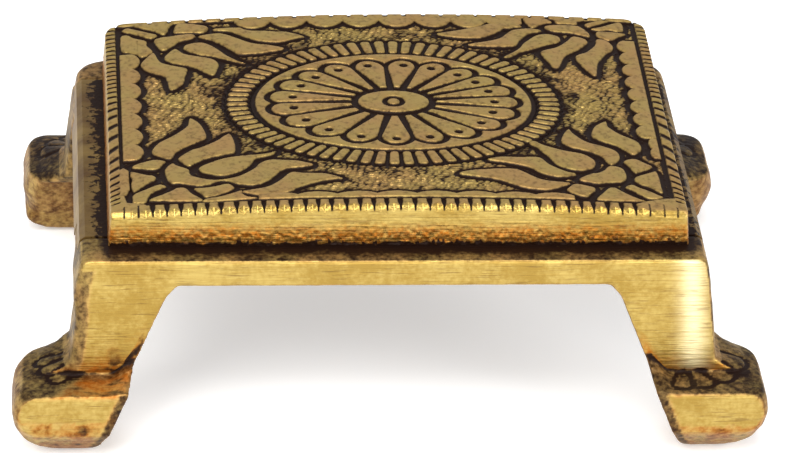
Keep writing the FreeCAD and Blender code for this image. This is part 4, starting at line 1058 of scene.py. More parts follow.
# The toes' tops, flats and soles
TOE_UP_SHARES = (0.2, 0.55)
TOE_UP_TOP = TOE_LINE + 4.5
TOE_CLEAN_SHARE = 0.7
FRONT_TOE_DARK_SHARES = (0.61, 0.12)
REAR_TOE_DARK_SHARES = (0.68, 0.12)
NEAR_LEG_FADE = (ARCH_FACE + 0.5, ARCH_FACE + 4.0)
BELOW_FLAT_SHARES = (0.5, 0.8)
BELOW_FLAT_TOP = 10.5
BELOW_FLAT_GILT_SHARE = 0.55
BELOW_FLAT_BURNT_SHARES = (0.35, 0.8)
BELOW_FLAT_DARK_SHARES = (0.3, 0.7)
LOW_BURNT_SHARES = (0.3, 0.5)
BARE_BURNT_SHARE = 0.12
PATCH_BURNT_SHARES = (0.4, 0.5)
PATCH_DARK_SHARES = (0.3, 0.5)
PATCH_STRETCH = 0.5
PATCH_NOISE = (0.8, 24)
BARE_DARK_SHARES = (0.5, 0.2)
LOW_CLEAN_SHARE = 0.12
# Painted shade on the surfaces that face down
UNDERSIDE_SHADE_SHARES = (0.2, 0.8)
UNDERSIDE_SHADE_SHARE = 0.35
HEEL_FRONT_SHARES = (0.3, 0.6)
HEEL_DARK_SHARE = 0.62
SOLE_FADE = (5.0, 9.0)
SOLE_DARK_SHARE = 0.42
FILED_CLEAN_SHARE = 0.95
GROOVE_DARK_SHARE = 0.97


def uneven(rough, level_share, swing_share):
    """A share that swings with the casting's roughness."""
    return level_share + swing_share * rough


def toe_grooves(away, forward, turns):
    """How deep in the grooves round a foot's petals, which fan out from the ankle. Places are from there."""
    radius = np.hypot(away, forward)
    angle = np.degrees(np.arctan2(forward, away))
    gap = np.full(away.shape, np.inf)
    for turn in np.radians(turns):
        ahead = away * math.cos(turn) + forward * math.sin(turn) > 0
        beside = np.abs(away * math.sin(turn) - forward * math.cos(turn))
        gap = np.where(ahead, np.minimum(gap, beside), gap)
    place = np.interp(angle, turns, range(len(turns))) % 1
    tip = PETAL_TIP_SHARE + PETAL_TIP_ROUND_SHARE * np.sin(math.pi * place) ** PETAL_TIP_FULLNESS
    share = np.hypot(away / FAN_HALF_LENGTHS[0], forward / FAN_HALF_LENGTHS[1])
    gap = np.where(share > tip, np.inf, gap)
    gap = np.minimum(gap, np.abs(share - tip) * radius)
    inside = fade(angle, turns[0] - FAN_EDGE_TURN, turns[0])
    inside *= fade_out(angle, turns[-1], turns[-1] + FAN_EDGE_TURN)
    return fade_out(gap, *GROOVE_FADE) * inside * fade(radius, *FAN_ROOT_FADE)


def petal_places(x, ahead, toe_up, facing):
    """How deep in the petals' grooves, and how far in the smooth patch of a toe whose fan stops early."""
    cut = np.zeros(len(x))
    smooth_patch = np.zeros(len(x))
    for (to_side, end), turns in FAN_TURNS.items():
        if end != facing:
            continue
        here = toe_up * ((x - PLATE_MIDDLE) * to_side > 0)
        away = x * to_side - FAN_SIDE
        forward = ahead - FAN_FORWARD
        cut = np.maximum(cut, here * toe_grooves(away, forward, turns))
        beyond = fade(np.degrees(np.arctan2(forward, away)) - turns[-1], *PATCH_TURN_FADE)
        smooth_patch = np.maximum(smooth_patch, here * beyond * (len(turns) < FULL_FAN))
    return cut, smooth_patch


def reshape_toes(points, facing):
    """Presses down the toes' shelves, draws the left front leg in and tucks the left rear toe under."""
    x, y, z = points.T
    outer = fade(np.abs(x), *OUTER_SIDE_FADE)
    beside = np.abs(x) - INNER_FOOT_SPAN + INNER_SIDE_LEAN * z
    before = fade(y * facing, *BEFORE_FACE_FADE) * fade(beside, *BEFORE_SIDE_FADE)
    z += np.maximum(outer, before) * (np.interp(z, CAST_LEVELS, SHELF_LEVELS) - z)
    if facing < 0:
        slim = fade_out(z, *SLIM_TOP_FADE) * fade(z, *SLIM_BOTTOM_FADE)
        x += SLIM_BY * slim * fade(-x, *SLIM_SIDE_FADE)
    else:
        x += TUCK_BY * fade(z, *TUCK_HEIGHT_FADE) * fade(-x, *TUCK_SIDE_FADE)


def finish_arch(piece, facing):
    """Works casting lumps, filed faces, dark crevices and painted shade on the undersides into an arch.
    facing is -1 at the front.
    """
    mesh = piece.data
    points = points_of(mesh)
    normals = normals_of(mesh)
    x, y, z = points.T
    is_front = facing < 0
    ahead = y * facing
    side = np.abs(x - PLATE_MIDDLE)
    front_ness = normals[:, 1] * facing
    up_ness = normals[:, 2]
    coarse = lumps(x + CAST_X_LEAN * z, z + CAST_Y_LEAN * y, *COARSE_CAST_NOISE)
    fine = lumps(x + y, z - FINE_CAST_LEAN * y, *FINE_CAST_NOISE)
    rough = coarse * COARSE_CAST_SHARE + fine * (1 - COARSE_CAST_SHARE)

    # Filed and rubbed places
    on_ledge = fade(up_ness, *LEDGE_UP_SHARES) * fade(z, *LEDGE_FADE)
    filed = fade(front_ness, *LEG_FRONT_SHARES) * fade(z + LEG_WANDER * rough, *LEG_FADE) * (1 - on_ledge)
    toe_flat = fade(front_ness, *FLAT_FRONT_SHARES) * fade_out(z + FLAT_TOP_WANDER * rough, *FLAT_TOP_FADE)
    off_heel = fade(np.abs(x) - INNER_FOOT_SPAN + INNER_SIDE_LEAN * z, *HEEL_FADE)
    over_bottom = z + FLAT_BOTTOM_WANDER * rough - np.where(x < 0, *FLAT_BOTTOMS)
    toe_flat *= fade(ahead, *FLAT_AHEAD_FADE) * off_heel * fade(over_bottom, *FLAT_BOTTOM_FADE)
    gilt = np.maximum(filed, toe_flat)
    scorch = filed * fade_out(z - SCORCH_WANDER * rough, *SCORCH_FADE)
    chipped = np.zeros(len(x))
    ledge = uneven(rough, *REAR_LEDGE_SHARES)
    if is_front:
        ledge = uneven(rough, *FRONT_LEDGE_SHARES) - LEDGE_CORNER_SHARE * fade(side, *LEDGE_CORNER_FADE)
        ledge = ledge - LEDGE_EDGE_SHARE * fade(ahead + LEDGE_WANDER * rough, *LEDGE_EDGE_FADE)
        border = LEFT_LEG_FILED + LEFT_LEG_LEAN * (LEDGE_TOP - z)
        shaded = fade(-x - border, *LEFT_LEG_FADE) * (z < LEFT_LEG_TOP)
        gilt = gilt * (1 - shaded * (z > TOE_LINE))
        patch = lumps(x, CHIP_STRETCH * z, *CHIP_NOISE) * CHIP_NOISE_SHARE + rough * CHIP_ROUGH_SHARE
        chipped = filed * fade_out(z, *CHIP_HEIGHT_FADE) * fade(x, *CHIP_SIDE_FADE) * (x < 0)
        chipped = chipped * fade(patch, *CHIP_SHARES)

    # Places round the toes
    throat = fade_out(z - THROAT_WANDER * rough, *THROAT_TOP_FADE) * fade(z, *THROAT_BOTTOM_FADE)
    throat *= (1 - toe_flat) * fade(front_ness, *THROAT_FRONT_SHARES)
    throat *= fade_out(ahead + THROAT_AHEAD_WANDER * rough, *THROAT_AHEAD_FADE)
    toe_up = fade(up_ness, *TOE_UP_SHARES) * (z < TOE_UP_TOP) * (1 - toe_flat)
    low = (1 - gilt) * (z < TOE_TOP)
    cut, smooth_patch = petal_places(x, ahead, toe_up, facing)
    burnt = throat * THROAT_BURNT_SHARE + low * uneven(rough, *LOW_BURNT_SHARES)
    burnt += BARE_BURNT_SHARE * (1 - gilt) + smooth_patch * uneven(rough, *PATCH_BURNT_SHARES)
    burnt *= 1 - TOE_CLEAN_SHARE * toe_up * (1 - smooth_patch)
    below_flat = fade(front_ness, *BELOW_FLAT_SHARES) * (z < BELOW_FLAT_TOP) * (1 - toe_flat) * off_heel
    gilt = np.maximum(gilt, BELOW_FLAT_GILT_SHARE * below_flat * is_front)
    burnt = np.maximum(burnt, scorch) + chipped * CHIP_BURNT_SHARE
    burnt += below_flat * uneven(rough, *BELOW_FLAT_BURNT_SHARES)

    # Dark places, with painted shade on the surfaces that face down
    bare = (1 - gilt) * uneven(rough, *BARE_DARK_SHARES) * (1 - LOW_CLEAN_SHARE * (low > 0))
    heel = (1 - off_heel) * fade(front_ness, *HEEL_FRONT_SHARES) * (z < TOE_TOP)
    near_leg = fade_out(ahead + rough, *NEAR_LEG_FADE)
    toe_dark = uneven(rough, *(FRONT_TOE_DARK_SHARES if is_front else REAR_TOE_DARK_SHARES))
    patch_noise = lumps(PATCH_STRETCH * x + y, y, *PATCH_NOISE)
    dark = np.maximum.reduce([
        on_ledge * ledge,
        throat * uneven(rough, *THROAT_DARK_SHARES) * (1 - THROAT_PATCH_SHARE * smooth_patch),
        toe_up * toe_dark * (1 - smooth_patch * (1 - near_leg)),
        bare * (1 - on_ledge) * (1 - smooth_patch),
        # Painted shade: darker where the surface faces down
        fade(-up_ness, *UNDERSIDE_SHADE_SHARES) * UNDERSIDE_SHADE_SHARE * (1 - gilt),
        smooth_patch * uneven(patch_noise, *PATCH_DARK_SHARES),
        heel * HEEL_DARK_SHARE,
    ])
    dark = np.maximum(dark * (1 - FILED_CLEAN_SHARE * gilt * (1 - throat)), cut * GROOVE_DARK_SHARE)
    singed = fade(front_ness, *SINGED_FRONT_SHARES) * (z > SINGED_BOTTOM) * is_front
    singed *= fade_out(z - SINGED_WANDER * rough, *SINGED_FADE)
    dark = np.maximum.reduce([
        dark,
        chipped * CHIP_DARK_SHARE,
        singed * uneven(rough, *SINGED_DARK_SHARES),
        below_flat * uneven(rough, *BELOW_FLAT_DARK_SHARES),
        fade_out(z, *SOLE_FADE) * (1 - toe_flat) * SOLE_DARK_SHARE,
    ])
    # Painted highlight: a pale gold streak laid down the right front leg where light would gleam
    off_streak = (x - HIGHLIGHT_STREAK_X - HIGHLIGHT_STREAK_LEAN * (HIGHLIGHT_STREAK_TOP - z)) / HIGHLIGHT_STREAK_WIDTH
    rubbed = filed * np.exp(-(off_streak**2)) * (1 - singed) * is_front

    push = rough * (CAST_ROUGH * (1 - gilt) + FILED_ROUGH * gilt) - GROOVE_DEPTH * cut
    points += normals * push[:, None]
    reshape_toes(points, facing)
    place_points(mesh, points)
    paint(mesh, tarnish=np.clip(dark, 0, 1), gilt=gilt, burnt=np.clip(burnt, 0, 1), rubbed=rubbed)
    smooth_faces(mesh, CAST_EDGE_ANGLE)
    return piece


# Noises of the finishes are a scale, a detail and a stretch. Shares are what a noise comes in between
NOISE_ROUGHNESS = 0.6
MIDDLE_SHARE = 0.5
GLOSS_SHARE = 0.08
BRASS_CLOUD = (90, 4)
BRASS_GRAIN = (900, 5)
BRASS_FLECK = (2600, 3)
ROSY_SHARES = (0.35, 0.65)
UMBER_SHARES = (0.45, 0.75, 0, 0.6)
WORN_CLOUD_SHARE = 0.6
WORN_GRAIN_SHARE = 0.4
HONEY_SHARES = (0.38, 0.62)
BURNT_SHARES = (0.3, 0.62, 0.45, 1.0)
WOBBLE_SHARE = 0.55
DARK_SHARES = (0.12, 0.78)
FLECK_SHARE = 0.4
CARVED_ROUGHNESS = 0.46
BRASS_METAL_SHARES = (0.9, 0.15)
BRASS_BUMP = (0.35, 0.12 * MM)
FILE_MARKS = (640, 4, (0.22, 1, 3.4))
FILE_MARK_SHARES = (0.55, 0.68)
FILE_MARK_COVER_SHARE = 0.5
FILE_LINES = (1500, 3, (0.07, 1, 1.6))
FILE_LINE_SHARES = (0.42, 0.66)
FILE_LINE_COVER_SHARE = 0.45
FILE_LINE_HEIGHT_SHARE = 2.4
FILED_ROUGHNESS_SHARES = (0.5, 0.3)
LEDGE_CLOUD = (120, 4)
LEDGE_GRAIN = (700, 5)
TAN_SHARES = (0.2, 0.9)
TAN_UMBER_SHARE = 0.35
LEDGE_GRAIN_SWAY = 11.0 * MM
LEDGE_CLOUD_SWAY = 3.0 * MM
TAN_STRIP_FADE = (57.6 * MM, 58.8 * MM)
LEDGE_METAL_SHARES = (0.2, 0.85)
LEDGE_ROUGHNESS = 0.5
LEDGE_BUMP = (0.5, 0.2 * MM)
SCREW_GRAIN = (1500, 4)
SCREW_UMBER_SHARES = (0.4, 0.7)
SCREW_METAL_SHARE = 0.9
SCREW_ROUGHNESS = 0.42
SCREW_BUMP = (0.3, 0.1 * MM)
HOLLOW_GRAIN = (500, 5)
HOLLOW_PATINA_SHARES = (0.35, 0.7)
HOLLOW_METAL_SHARE = 0.6
HOLLOW_ROUGHNESS = 0.6
HOLLOW_BUMP = (0.6, 0.3 * MM)


def add_node(tree, kind, **inputs):
    """A shader node with its inputs set by name, each to a value or to another node's output."""
    node = tree.nodes.new(kind)
    for name, value in inputs.items():
        socket = node.inputs[name.replace("_", " ")]
        if isinstance(value, bpy.types.NodeSocket):
            tree.links.new(value, socket)
        else:
            socket.default_value = value
    return node


def sum_node(tree, operation, first, second=0.5, third=0.5, clamp=False):
    """A maths node over values or outputs, giving its output."""
    node = tree.nodes.new("ShaderNodeMath")
    node.operation = operation
    node.use_clamp = clamp
    for socket, value in zip(node.inputs, (first, second, third)):
        if isinstance(value, bpy.types.NodeSocket):
            tree.links.new(value, socket)
        else:
            socket.default_value = value
    return node.outputs[0]


def noise_node(tree, place, scale, detail, stretch=(1, 1, 1)):
    """Noise over the object's own coordinates, in lumps a metre over the scale across."""
    mapping = add_node(tree, "ShaderNodeMapping", Vector=place, Scale=stretch)
    noise = add_node(
        tree, "ShaderNodeTexNoise", Vector=mapping.outputs[0], Scale=scale, Detail=detail,
        Roughness=NOISE_ROUGHNESS,
    )
    return noise.outputs[0]


def range_node(tree, value, low, high, to_low=0.0, to_high=1.0):
    """A value moved from one range to another, kept within it."""
    node = tree.nodes.new("ShaderNodeMapRange")
    node.interpolation_type = "SMOOTHSTEP"
    for socket, number in zip(node.inputs, (value, low, high, to_low, to_high)):
        if isinstance(number, bpy.types.NodeSocket):
            tree.links.new(number, socket)
        else:
            socket.default_value = number
    return node.outputs[0]


def mix_colour(tree, share, first, second):
    """A colour between two colours or outputs, giving its output."""
    node = tree.nodes.new("ShaderNodeMix")
    node.data_type = "RGBA"
    sockets = [node.inputs[0], node.inputs[6], node.inputs[7]]
    for socket, value in zip(sockets, (share, first, second)):
        if isinstance(value, bpy.types.NodeSocket):
            tree.links.new(value, socket)
        else:
            socket.default_value = value
    return node.outputs[2]


def share_of(tree, name):
    """What paint kept on the mesh under the name."""
    node = tree.nodes.new("ShaderNodeAttribute")
    node.attribute_name = name
    return node.outputs["Fac"]


def solid(colour):
    """A property's colour with full cover."""
    return (*colour, 1.0)


def new_material(name):
    """An empty node material with its output, and the object's own coordinates."""
    material = bpy.data.materials.new(name)
    material.use_nodes = True
    tree = material.node_tree
    tree.nodes.clear()
    place = tree.nodes.new("ShaderNodeTexCoord").outputs["Object"]
    return material, tree, place


def brass_surface(tree, colour, metal, rough, height, strength, distance):
    """The brass shader with its bump, joined to the output."""
    bump = add_node(tree, "ShaderNodeBump", Strength=strength, Distance=distance, Height=height)
    shader = add_node(
        tree, "ShaderNodeBsdfPrincipled", Base_Color=colour, Metallic=metal, Roughness=rough,
        Specular_IOR_Level=GLOSS_SHARE, Normal=bump.outputs[0],
    )
    add_node(tree, "ShaderNodeOutputMaterial", Surface=shader.outputs[0])


def aged_brass(name, filed_marks):
    """Antique brass with gilt, burnt and tarnished places, painted shade and a painted highlight, that the
    piece's painted shares choose.
    """
    colours = bpy.context.scene.carved_table
    material, tree, place = new_material(name)
    cloud = noise_node(tree, place, *BRASS_CLOUD)
    grain = noise_node(tree, place, *BRASS_GRAIN)
    fleck = noise_node(tree, place, *BRASS_FLECK)
    rosy_share = range_node(tree, cloud, *ROSY_SHARES)
    antique = mix_colour(tree, rosy_share, solid(colours.antique), solid(colours.rosy))
    umber_share = range_node(tree, grain, *UMBER_SHARES)
    antique = mix_colour(tree, umber_share, antique, solid(colours.umber))
    worn = sum_node(tree, "MULTIPLY", cloud, WORN_CLOUD_SHARE)
    worn = sum_node(tree, "ADD", worn, sum_node(tree, "MULTIPLY", grain, WORN_GRAIN_SHARE))
    honey_share = range_node(tree, worn, *HONEY_SHARES)
    bright = mix_colour(tree, honey_share, solid(colours.gilt), solid(colours.honey))
    base = mix_colour(tree, share_of(tree, "gilt"), antique, bright)
    blotches = range_node(tree, grain, *BURNT_SHARES)
    burnt_share = sum_node(tree, "MULTIPLY", share_of(tree, "burnt"), blotches, clamp=True)
    base = mix_colour(tree, burnt_share, base, solid(colours.burnt))
    wobble = sum_node(tree, "SUBTRACT", grain, MIDDLE_SHARE)
    wobble = sum_node(tree, "MULTIPLY_ADD", wobble, WOBBLE_SHARE, share_of(tree, "tarnish"))
    dark = range_node(tree, wobble, *DARK_SHARES)
    height = sum_node(tree, "ADD", grain, sum_node(tree, "MULTIPLY", fleck, FLECK_SHARE))
    rough = CARVED_ROUGHNESS
    if filed_marks:
        # Painted highlight: pale gold mixed in along the streak the piece carries
        base = mix_colour(tree, share_of(tree, "rubbed"), base, solid(colours.rubbed))
        marks = noise_node(tree, place, *FILE_MARKS)
        lines = noise_node(tree, place, *FILE_LINES)
        gilt = share_of(tree, "gilt")
        line = sum_node(tree, "MULTIPLY", range_node(tree, lines, *FILE_LINE_SHARES), gilt)
        line = sum_node(tree, "MULTIPLY", line, FILE_LINE_COVER_SHARE)
        base = mix_colour(tree, line, base, solid(colours.honey))
        scratch = sum_node(tree, "MULTIPLY", range_node(tree, marks, *FILE_MARK_SHARES), gilt)
        scratch = sum_node(tree, "MULTIPLY", scratch, FILE_MARK_COVER_SHARE)
        base = mix_colour(tree, scratch, base, solid(colours.umber))
        lines = sum_node(tree, "MULTIPLY", lines, FILE_LINE_HEIGHT_SHARE)
        height = sum_node(tree, "ADD", height, lines)
        rough = range_node(tree, gilt, 0, 1, *FILED_ROUGHNESS_SHARES)
    colour = mix_colour(tree, dark, base, solid(colours.patina))
    metal = range_node(tree, dark, 0, 1, *BRASS_METAL_SHARES)
    brass_surface(tree, colour, metal, rough, height, *BRASS_BUMP)
    return material


def ledge_brass_material():
    """The side rails: a smooth tan outer strip and a rough black strip beside the plate."""
    colours = bpy.context.scene.carved_table
    material, tree, place = new_material("dark_ledge_brass")
    x_place = add_node(tree, "ShaderNodeSeparateXYZ", Vector=place).outputs[0]
    away = sum_node(tree, "ABSOLUTE", sum_node(tree, "SUBTRACT", x_place, PLATE_MIDDLE * MM))
    grain = noise_node(tree, place, *LEDGE_GRAIN)
    cloud = noise_node(tree, place, *LEDGE_CLOUD)
    tan_share = range_node(tree, cloud, *TAN_SHARES)
    tan = mix_colour(tree, tan_share, solid(colours.umber), solid(colours.antique))
    tan = mix_colour(tree, TAN_UMBER_SHARE, tan, solid(colours.umber))
    edge = away
    for noise, sway in ((grain, LEDGE_GRAIN_SWAY), (cloud, LEDGE_CLOUD_SWAY)):
        edge = sum_node(tree, "MULTIPLY_ADD", sum_node(tree, "SUBTRACT", noise, MIDDLE_SHARE), sway, edge)
    strip = range_node(tree, edge, *TAN_STRIP_FADE)
    colour = mix_colour(tree, strip, solid(colours.patina), tan)
    metal = range_node(tree, strip, 0, 1, *LEDGE_METAL_SHARES)
    brass_surface(tree, colour, metal, LEDGE_ROUGHNESS, grain, *LEDGE_BUMP)
    return material


def screw_brass_material():
    """Small turned screws under the table, brown with age."""
    colours = bpy.context.scene.carved_table
    material, tree, place = new_material("brown_screw_brass")
    grain = noise_node(tree, place, *SCREW_GRAIN)
    share = range_node(tree, grain, *SCREW_UMBER_SHARES)
    colour = mix_colour(tree, share, solid(colours.antique), solid(colours.umber))
    brass_surface(tree, colour, SCREW_METAL_SHARE, SCREW_ROUGHNESS, grain, *SCREW_BUMP)
    return material


def underside_material():
    """The plate's hollow: matt cast brass, dark with age."""
    colours = bpy.context.scene.carved_table
    material, tree, place = new_material("cast_underside_brass")
    grain = noise_node(tree, place, *HOLLOW_GRAIN)
    share = range_node(tree, grain, *HOLLOW_PATINA_SHARES)
    colour = mix_colour(tree, share, solid(colours.umber), solid(colours.patina))
    brass_surface(tree, colour, HOLLOW_METAL_SHARE, HOLLOW_ROUGHNESS, grain, *HOLLOW_BUMP)
    return material


def material_named(name, make):
    """The material of that name, made the first time it is asked for."""
    return bpy.data.materials.get(name) or make()


def carved_material():
    """Finish of every piece of the carved top."""
    return material_named("carved_antique_brass", lambda: aged_brass("carved_antique_brass", False))


def filed_material():
    """Finish of the cast and filed arches."""
    return material_named("filed_gold_brass", lambda: aged_brass("filed_gold_brass", True))


class CarvedTableSizes(bpy.types.PropertyGroup):
    """Sizes and colours of the table's looks that a maker would change."""

    relief: FloatProperty(
        name="Relief", description="Depth of the ground under the leaves", default=0.6 * MM,
        min=0.1 * MM, unit="LENGTH",
    )
    bead_count: IntProperty(
        name="Beads", description="Beads in the ring round the rosette", default=74, min=12,
    )
    cast_skin: FloatProperty(
        name="Cast skin", description="Size of the faces on the cast arches", default=0.55 * MM,
        min=0.2 * MM, unit="LENGTH",
    )
    antique: FloatVectorProperty(
        name="Antique brass", description="Worn tan brass of the carving", default=(0.49, 0.345, 0.108),
        subtype="COLOR", min=0, max=1,
    )
    rosy: FloatVectorProperty(
        name="Rosy brass", description="Pinker clouds in the antique brass", default=(0.50, 0.305, 0.108),
        subtype="COLOR", min=0, max=1,
    )
    gilt: FloatVectorProperty(
        name="Filed gold", description="Freshly filed bright brass", default=(0.47, 0.34, 0.10),
        subtype="COLOR", min=0, max=1,
    )
    # Pale gold of the painted highlight down the right front leg
    rubbed: FloatVectorProperty(
        name="Highlight gold", description="Pale gold where hands have rubbed a leg", default=(0.86, 0.74, 0.42),
        subtype="COLOR", min=0, max=1,
    )
    honey: FloatVectorProperty(
        name="Honey gold", description="Deeper gold between the file marks", default=(0.32, 0.205, 0.044),
        subtype="COLOR", min=0, max=1,
    )
    burnt: FloatVectorProperty(
        name="Burnt brass", description="Orange brown left by the torch", default=(0.40, 0.125, 0.012),
        subtype="COLOR", min=0, max=1,
    )
    umber: FloatVectorProperty(
        name="Umber", description="Brown in pores and scratches", default=(0.11, 0.055, 0.022),
        subtype="COLOR", min=0, max=1,
    )
    patina: FloatVectorProperty(
        name="Patina", description="Black patina in the ground of the carving", default=(0.012, 0.005, 0.003),
        subtype="COLOR", min=0, max=1,
    )
    floor: FloatVectorProperty(
        name="Floor", description="Pale studio floor", default=(0.9, 0.9, 0.9),
        subtype="COLOR", min=0, max=1,
    )


# How finely each piece of the look is divided, and where pieces lap over each other
RIM_COLUMNS = {"front_rim": 620, "right_rim": 480, "rear_rim": 420, "left_rim": 480}
FIELD_GRID = (250, 350)
FIELD_LAP = 0.1
ROSETTE_RINGS = 130
ROSETTE_STEPS = 640
ROSETTE_EDGE = (28.8, 20.7)
BEAD_RINGS = 30
BEAD_STEPS = 1300
BEAD_RING_INNER = (28.3, 20.3)
BEAD_RING_OUTER = (34.4, 26.8)
BODY_TOP = SKIN_FLOOR + 0.1
BODY_EDGE_WIDTH = 1
BODY_INSET = 1.2


class BuildPlateRim(bpy.types.Operator):
    """Makes the four sides of the plate's rim with their borders, ridges and teeth."""

    bl_idname = "brass_table.plate_rim"
    bl_label = "Plate rim"

    def execute(self, context):
        for side, (name, columns) in enumerate(RIM_COLUMNS.items()):
            mesh = rim_piece(name, side, columns)
            smooth_faces(mesh, RIM_EDGE_ANGLE)
            material = filed_material() if side == 0 else carved_material()
            fit(new_object(name, mesh), "carved_brass", material, "top_plate")
        return {"FINISHED"}


class BuildLeafFields(bpy.types.Operator):
    """Makes the carved leaf fields left and right of the rosette's middle."""

    bl_idname = "brass_table.leaf_fields"
    bl_label = "Leaf fields"

    def execute(self, context):
        left = FIELD_CORNERS[0][0] - FIELD_OVERLAP
        right = FIELD_CORNERS[1][0] + FIELD_OVERLAP
        for name, start, end in (
            ("left_leaf_field", left, PLATE_MIDDLE + FIELD_LAP),
            ("right_leaf_field", PLATE_MIDDLE - FIELD_LAP, right),
        ):
            mesh = field_piece(name, start, end, *FIELD_GRID)
            smooth_faces(mesh, CARVING_EDGE_ANGLE)
            fit(new_object(name, mesh), "carved_brass", carved_material(), "top_plate")
        return {"FINISHED"}


class BuildRosette(bpy.types.Operator):
    """Makes the rosette with its petals and eye."""

    bl_idname = "brass_table.rosette"
    bl_label = "Rosette"

    def execute(self, context):
        mesh = spun_section("rosette", list(np.linspace(0, 1, ROSETTE_RINGS)), ROSETTE_STEPS, True)
        lay_on_ellipse(mesh, (0, 0), ROSETTE_EDGE, 0)
        smooth_faces(mesh, CARVING_EDGE_ANGLE)
        fit(new_object("rosette", mesh), "carved_brass", carved_material(), "top_plate")
        return {"FINISHED"}


class BuildBeadRing(bpy.types.Operator):
    """Makes the ring of beads round the rosette."""

    bl_idname = "brass_table.bead_ring"
    bl_label = "Bead ring"

    def execute(self, context):
        mesh = spun_section("bead_ring", list(np.linspace(1, 2, BEAD_RINGS)), BEAD_STEPS, False)
        lay_on_ellipse(mesh, BEAD_RING_INNER, BEAD_RING_OUTER, 1)
        smooth_faces(mesh, CARVING_EDGE_ANGLE)
        fit(new_object("bead_ring", mesh), "carved_brass", carved_material(), "top_plate")
        return {"FINISHED"}


class BuildPlateBody(bpy.types.Operator):
    """Makes the plate's hollow underside with its screw bosses, from the CAD plate's lower part."""

    bl_idname = "brass_table.plate_body"
    bl_label = "Plate body"

    def execute(self, context):
        mesh = copy_node("plate_body", "top_plate")
        bm = bmesh.new()
        bm.from_mesh(mesh)
        geometry = bm.verts[:] + bm.edges[:] + bm.faces[:]
        bmesh.ops.bisect_plane(
            bm, geom=geometry, plane_co=(0, 0, BODY_TOP * MM), plane_no=(0, 0, 1), clear_outer=True
        )
        bmesh.ops.holes_fill(bm, edges=[edge for edge in bm.edges if edge.is_boundary], sides=0)
        middle = Vector((PLATE_MIDDLE * MM, 0, 0))
        for point in bm.verts:
            away = point.co - middle
            if abs(away.x) > (PLATE_HALF_WIDTH - BODY_EDGE_WIDTH) * MM:
                point.co.x -= math.copysign(BODY_INSET * MM, away.x)
            if point.co.y < (PLATE_FRONT + BODY_EDGE_WIDTH) * MM:
                point.co.y += BODY_INSET * MM
            if point.co.y > (PLATE_REAR_LEFT - BODY_EDGE_WIDTH) * MM:
                point.co.y -= BODY_INSET * MM
        bmesh.ops.recalc_face_normals(bm, faces=bm.faces)
        bm.to_mesh(mesh)
        bm.free()
        smooth_faces(mesh, BODY_EDGE_ANGLE)
        material = material_named("cast_underside_brass", underside_material)
        fit(new_object("plate_body", mesh), "carved_brass", material, "top_plate")
        return {"FINISHED"}


class BuildArches(bpy.types.Operator):
    """Makes the cast front and rear arches with their filed faces and toes."""

    bl_idname = "brass_table.arches"
    bl_label = "Cast arches"

    def execute(self, context):
        skin = context.scene.carved_table.cast_skin
        for name, node, facing in (
            ("front_arch_casting", "front_arch", -1),
            ("rear_arch_casting", "rear_arch", 1),
        ):
            piece = finish_arch(cast_skin(name, node, skin), facing)
            fit(piece, "filed_brass", filed_material(), node)
        return {"FINISHED"}


class FinishRailsAndScrews(bpy.types.Operator):
    """Gives the CAD rails and screws their finishes."""

    bl_idname = "brass_table.rails_and_screws"
    bl_label = "Rails and screws"

    def execute(self, context):
        for name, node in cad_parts.items():
            if "rail" in name:
                material = material_named("dark_ledge_brass", ledge_brass_material)
            elif "screw" in name:
                material = material_named("brown_screw_brass", screw_brass_material)
            else:
                continue
            for slot in node.material_slots:
                slot.material = material
        return {"FINISHED"}


class BuildStage(bpy.types.Operator):
    """Makes the pale floor, the soft lights and the camera."""

    bl_idname = "brass_table.stage"
    bl_label = "Stage"

    def execute(self, context):
        context.scene.view_settings.view_transform = "Standard"
        build_floor()
        build_lights()
        build_camera()
        return {"FINISHED"}


# The studio. A soft box is a name, place, target, size, power and colour
FLOOR_SEGMENTS = 8
FLOOR_HALF_SIZE = 6.0
FLOOR_GRAIN = (3, 2)
FLOOR_SHADE_SHARES = (0.3, 0.7, 0, 0.04)
FLOOR_SHADE = (0.8, 0.8, 0.8)
FLOOR_ROUGHNESS = 0.9
FLOOR_GLOW_SHARE = 0.32
ROOM_RISE_SHARES = (0.05, 0.75)
ROOM_WALL = (1.0, 1.0, 1.0)
ROOM_CEILING = (0.7, 0.7, 0.72)
ROOM_STRENGTH = 0.8
SOFT_BOXES = (
    ("key_box", (-0.55, -0.75, 0.8), (0, 0, 0.03), 0.6, 8, (1, 0.98, 0.95)),
    ("low_box", (0.1, -1.2, 0.25), (0, 0, 0), 0.6, 4, (1, 1, 1)),
    ("fill_box", (0.6, -0.45, 0.35), (0.08, -0.08, 0), 0.4, 2.5, (1, 1, 1)),
    ("over_box", (-0.05, -0.5, 1.0), (0, 0, 0.04), 0.5, 6, (1, 1, 1)),
)


def build_floor():
    """A wide pale floor under the table."""
    bm = bmesh.new()
    bmesh.ops.create_grid(bm, x_segments=FLOOR_SEGMENTS, y_segments=FLOOR_SEGMENTS, size=FLOOR_HALF_SIZE)
    mesh = bpy.data.meshes.new("studio_floor")
    bm.to_mesh(mesh)
    bm.free()
    floor = new_object("studio_floor", mesh)
    material, tree, place = new_material("pale_floor")
    shade = range_node(tree, noise_node(tree, place, *FLOOR_GRAIN), *FLOOR_SHADE_SHARES)
    pale = solid(bpy.context.scene.carved_table.floor)
    colour = mix_colour(tree, shade, pale, solid(FLOOR_SHADE))
    shader = add_node(
        tree, "ShaderNodeBsdfPrincipled", Base_Color=colour, Roughness=FLOOR_ROUGHNESS,
        Emission_Color=(1, 1, 1, 1), Emission_Strength=FLOOR_GLOW_SHARE,
    )
    add_node(tree, "ShaderNodeOutputMaterial", Surface=shader.outputs[0])
    mesh.materials.append(material)


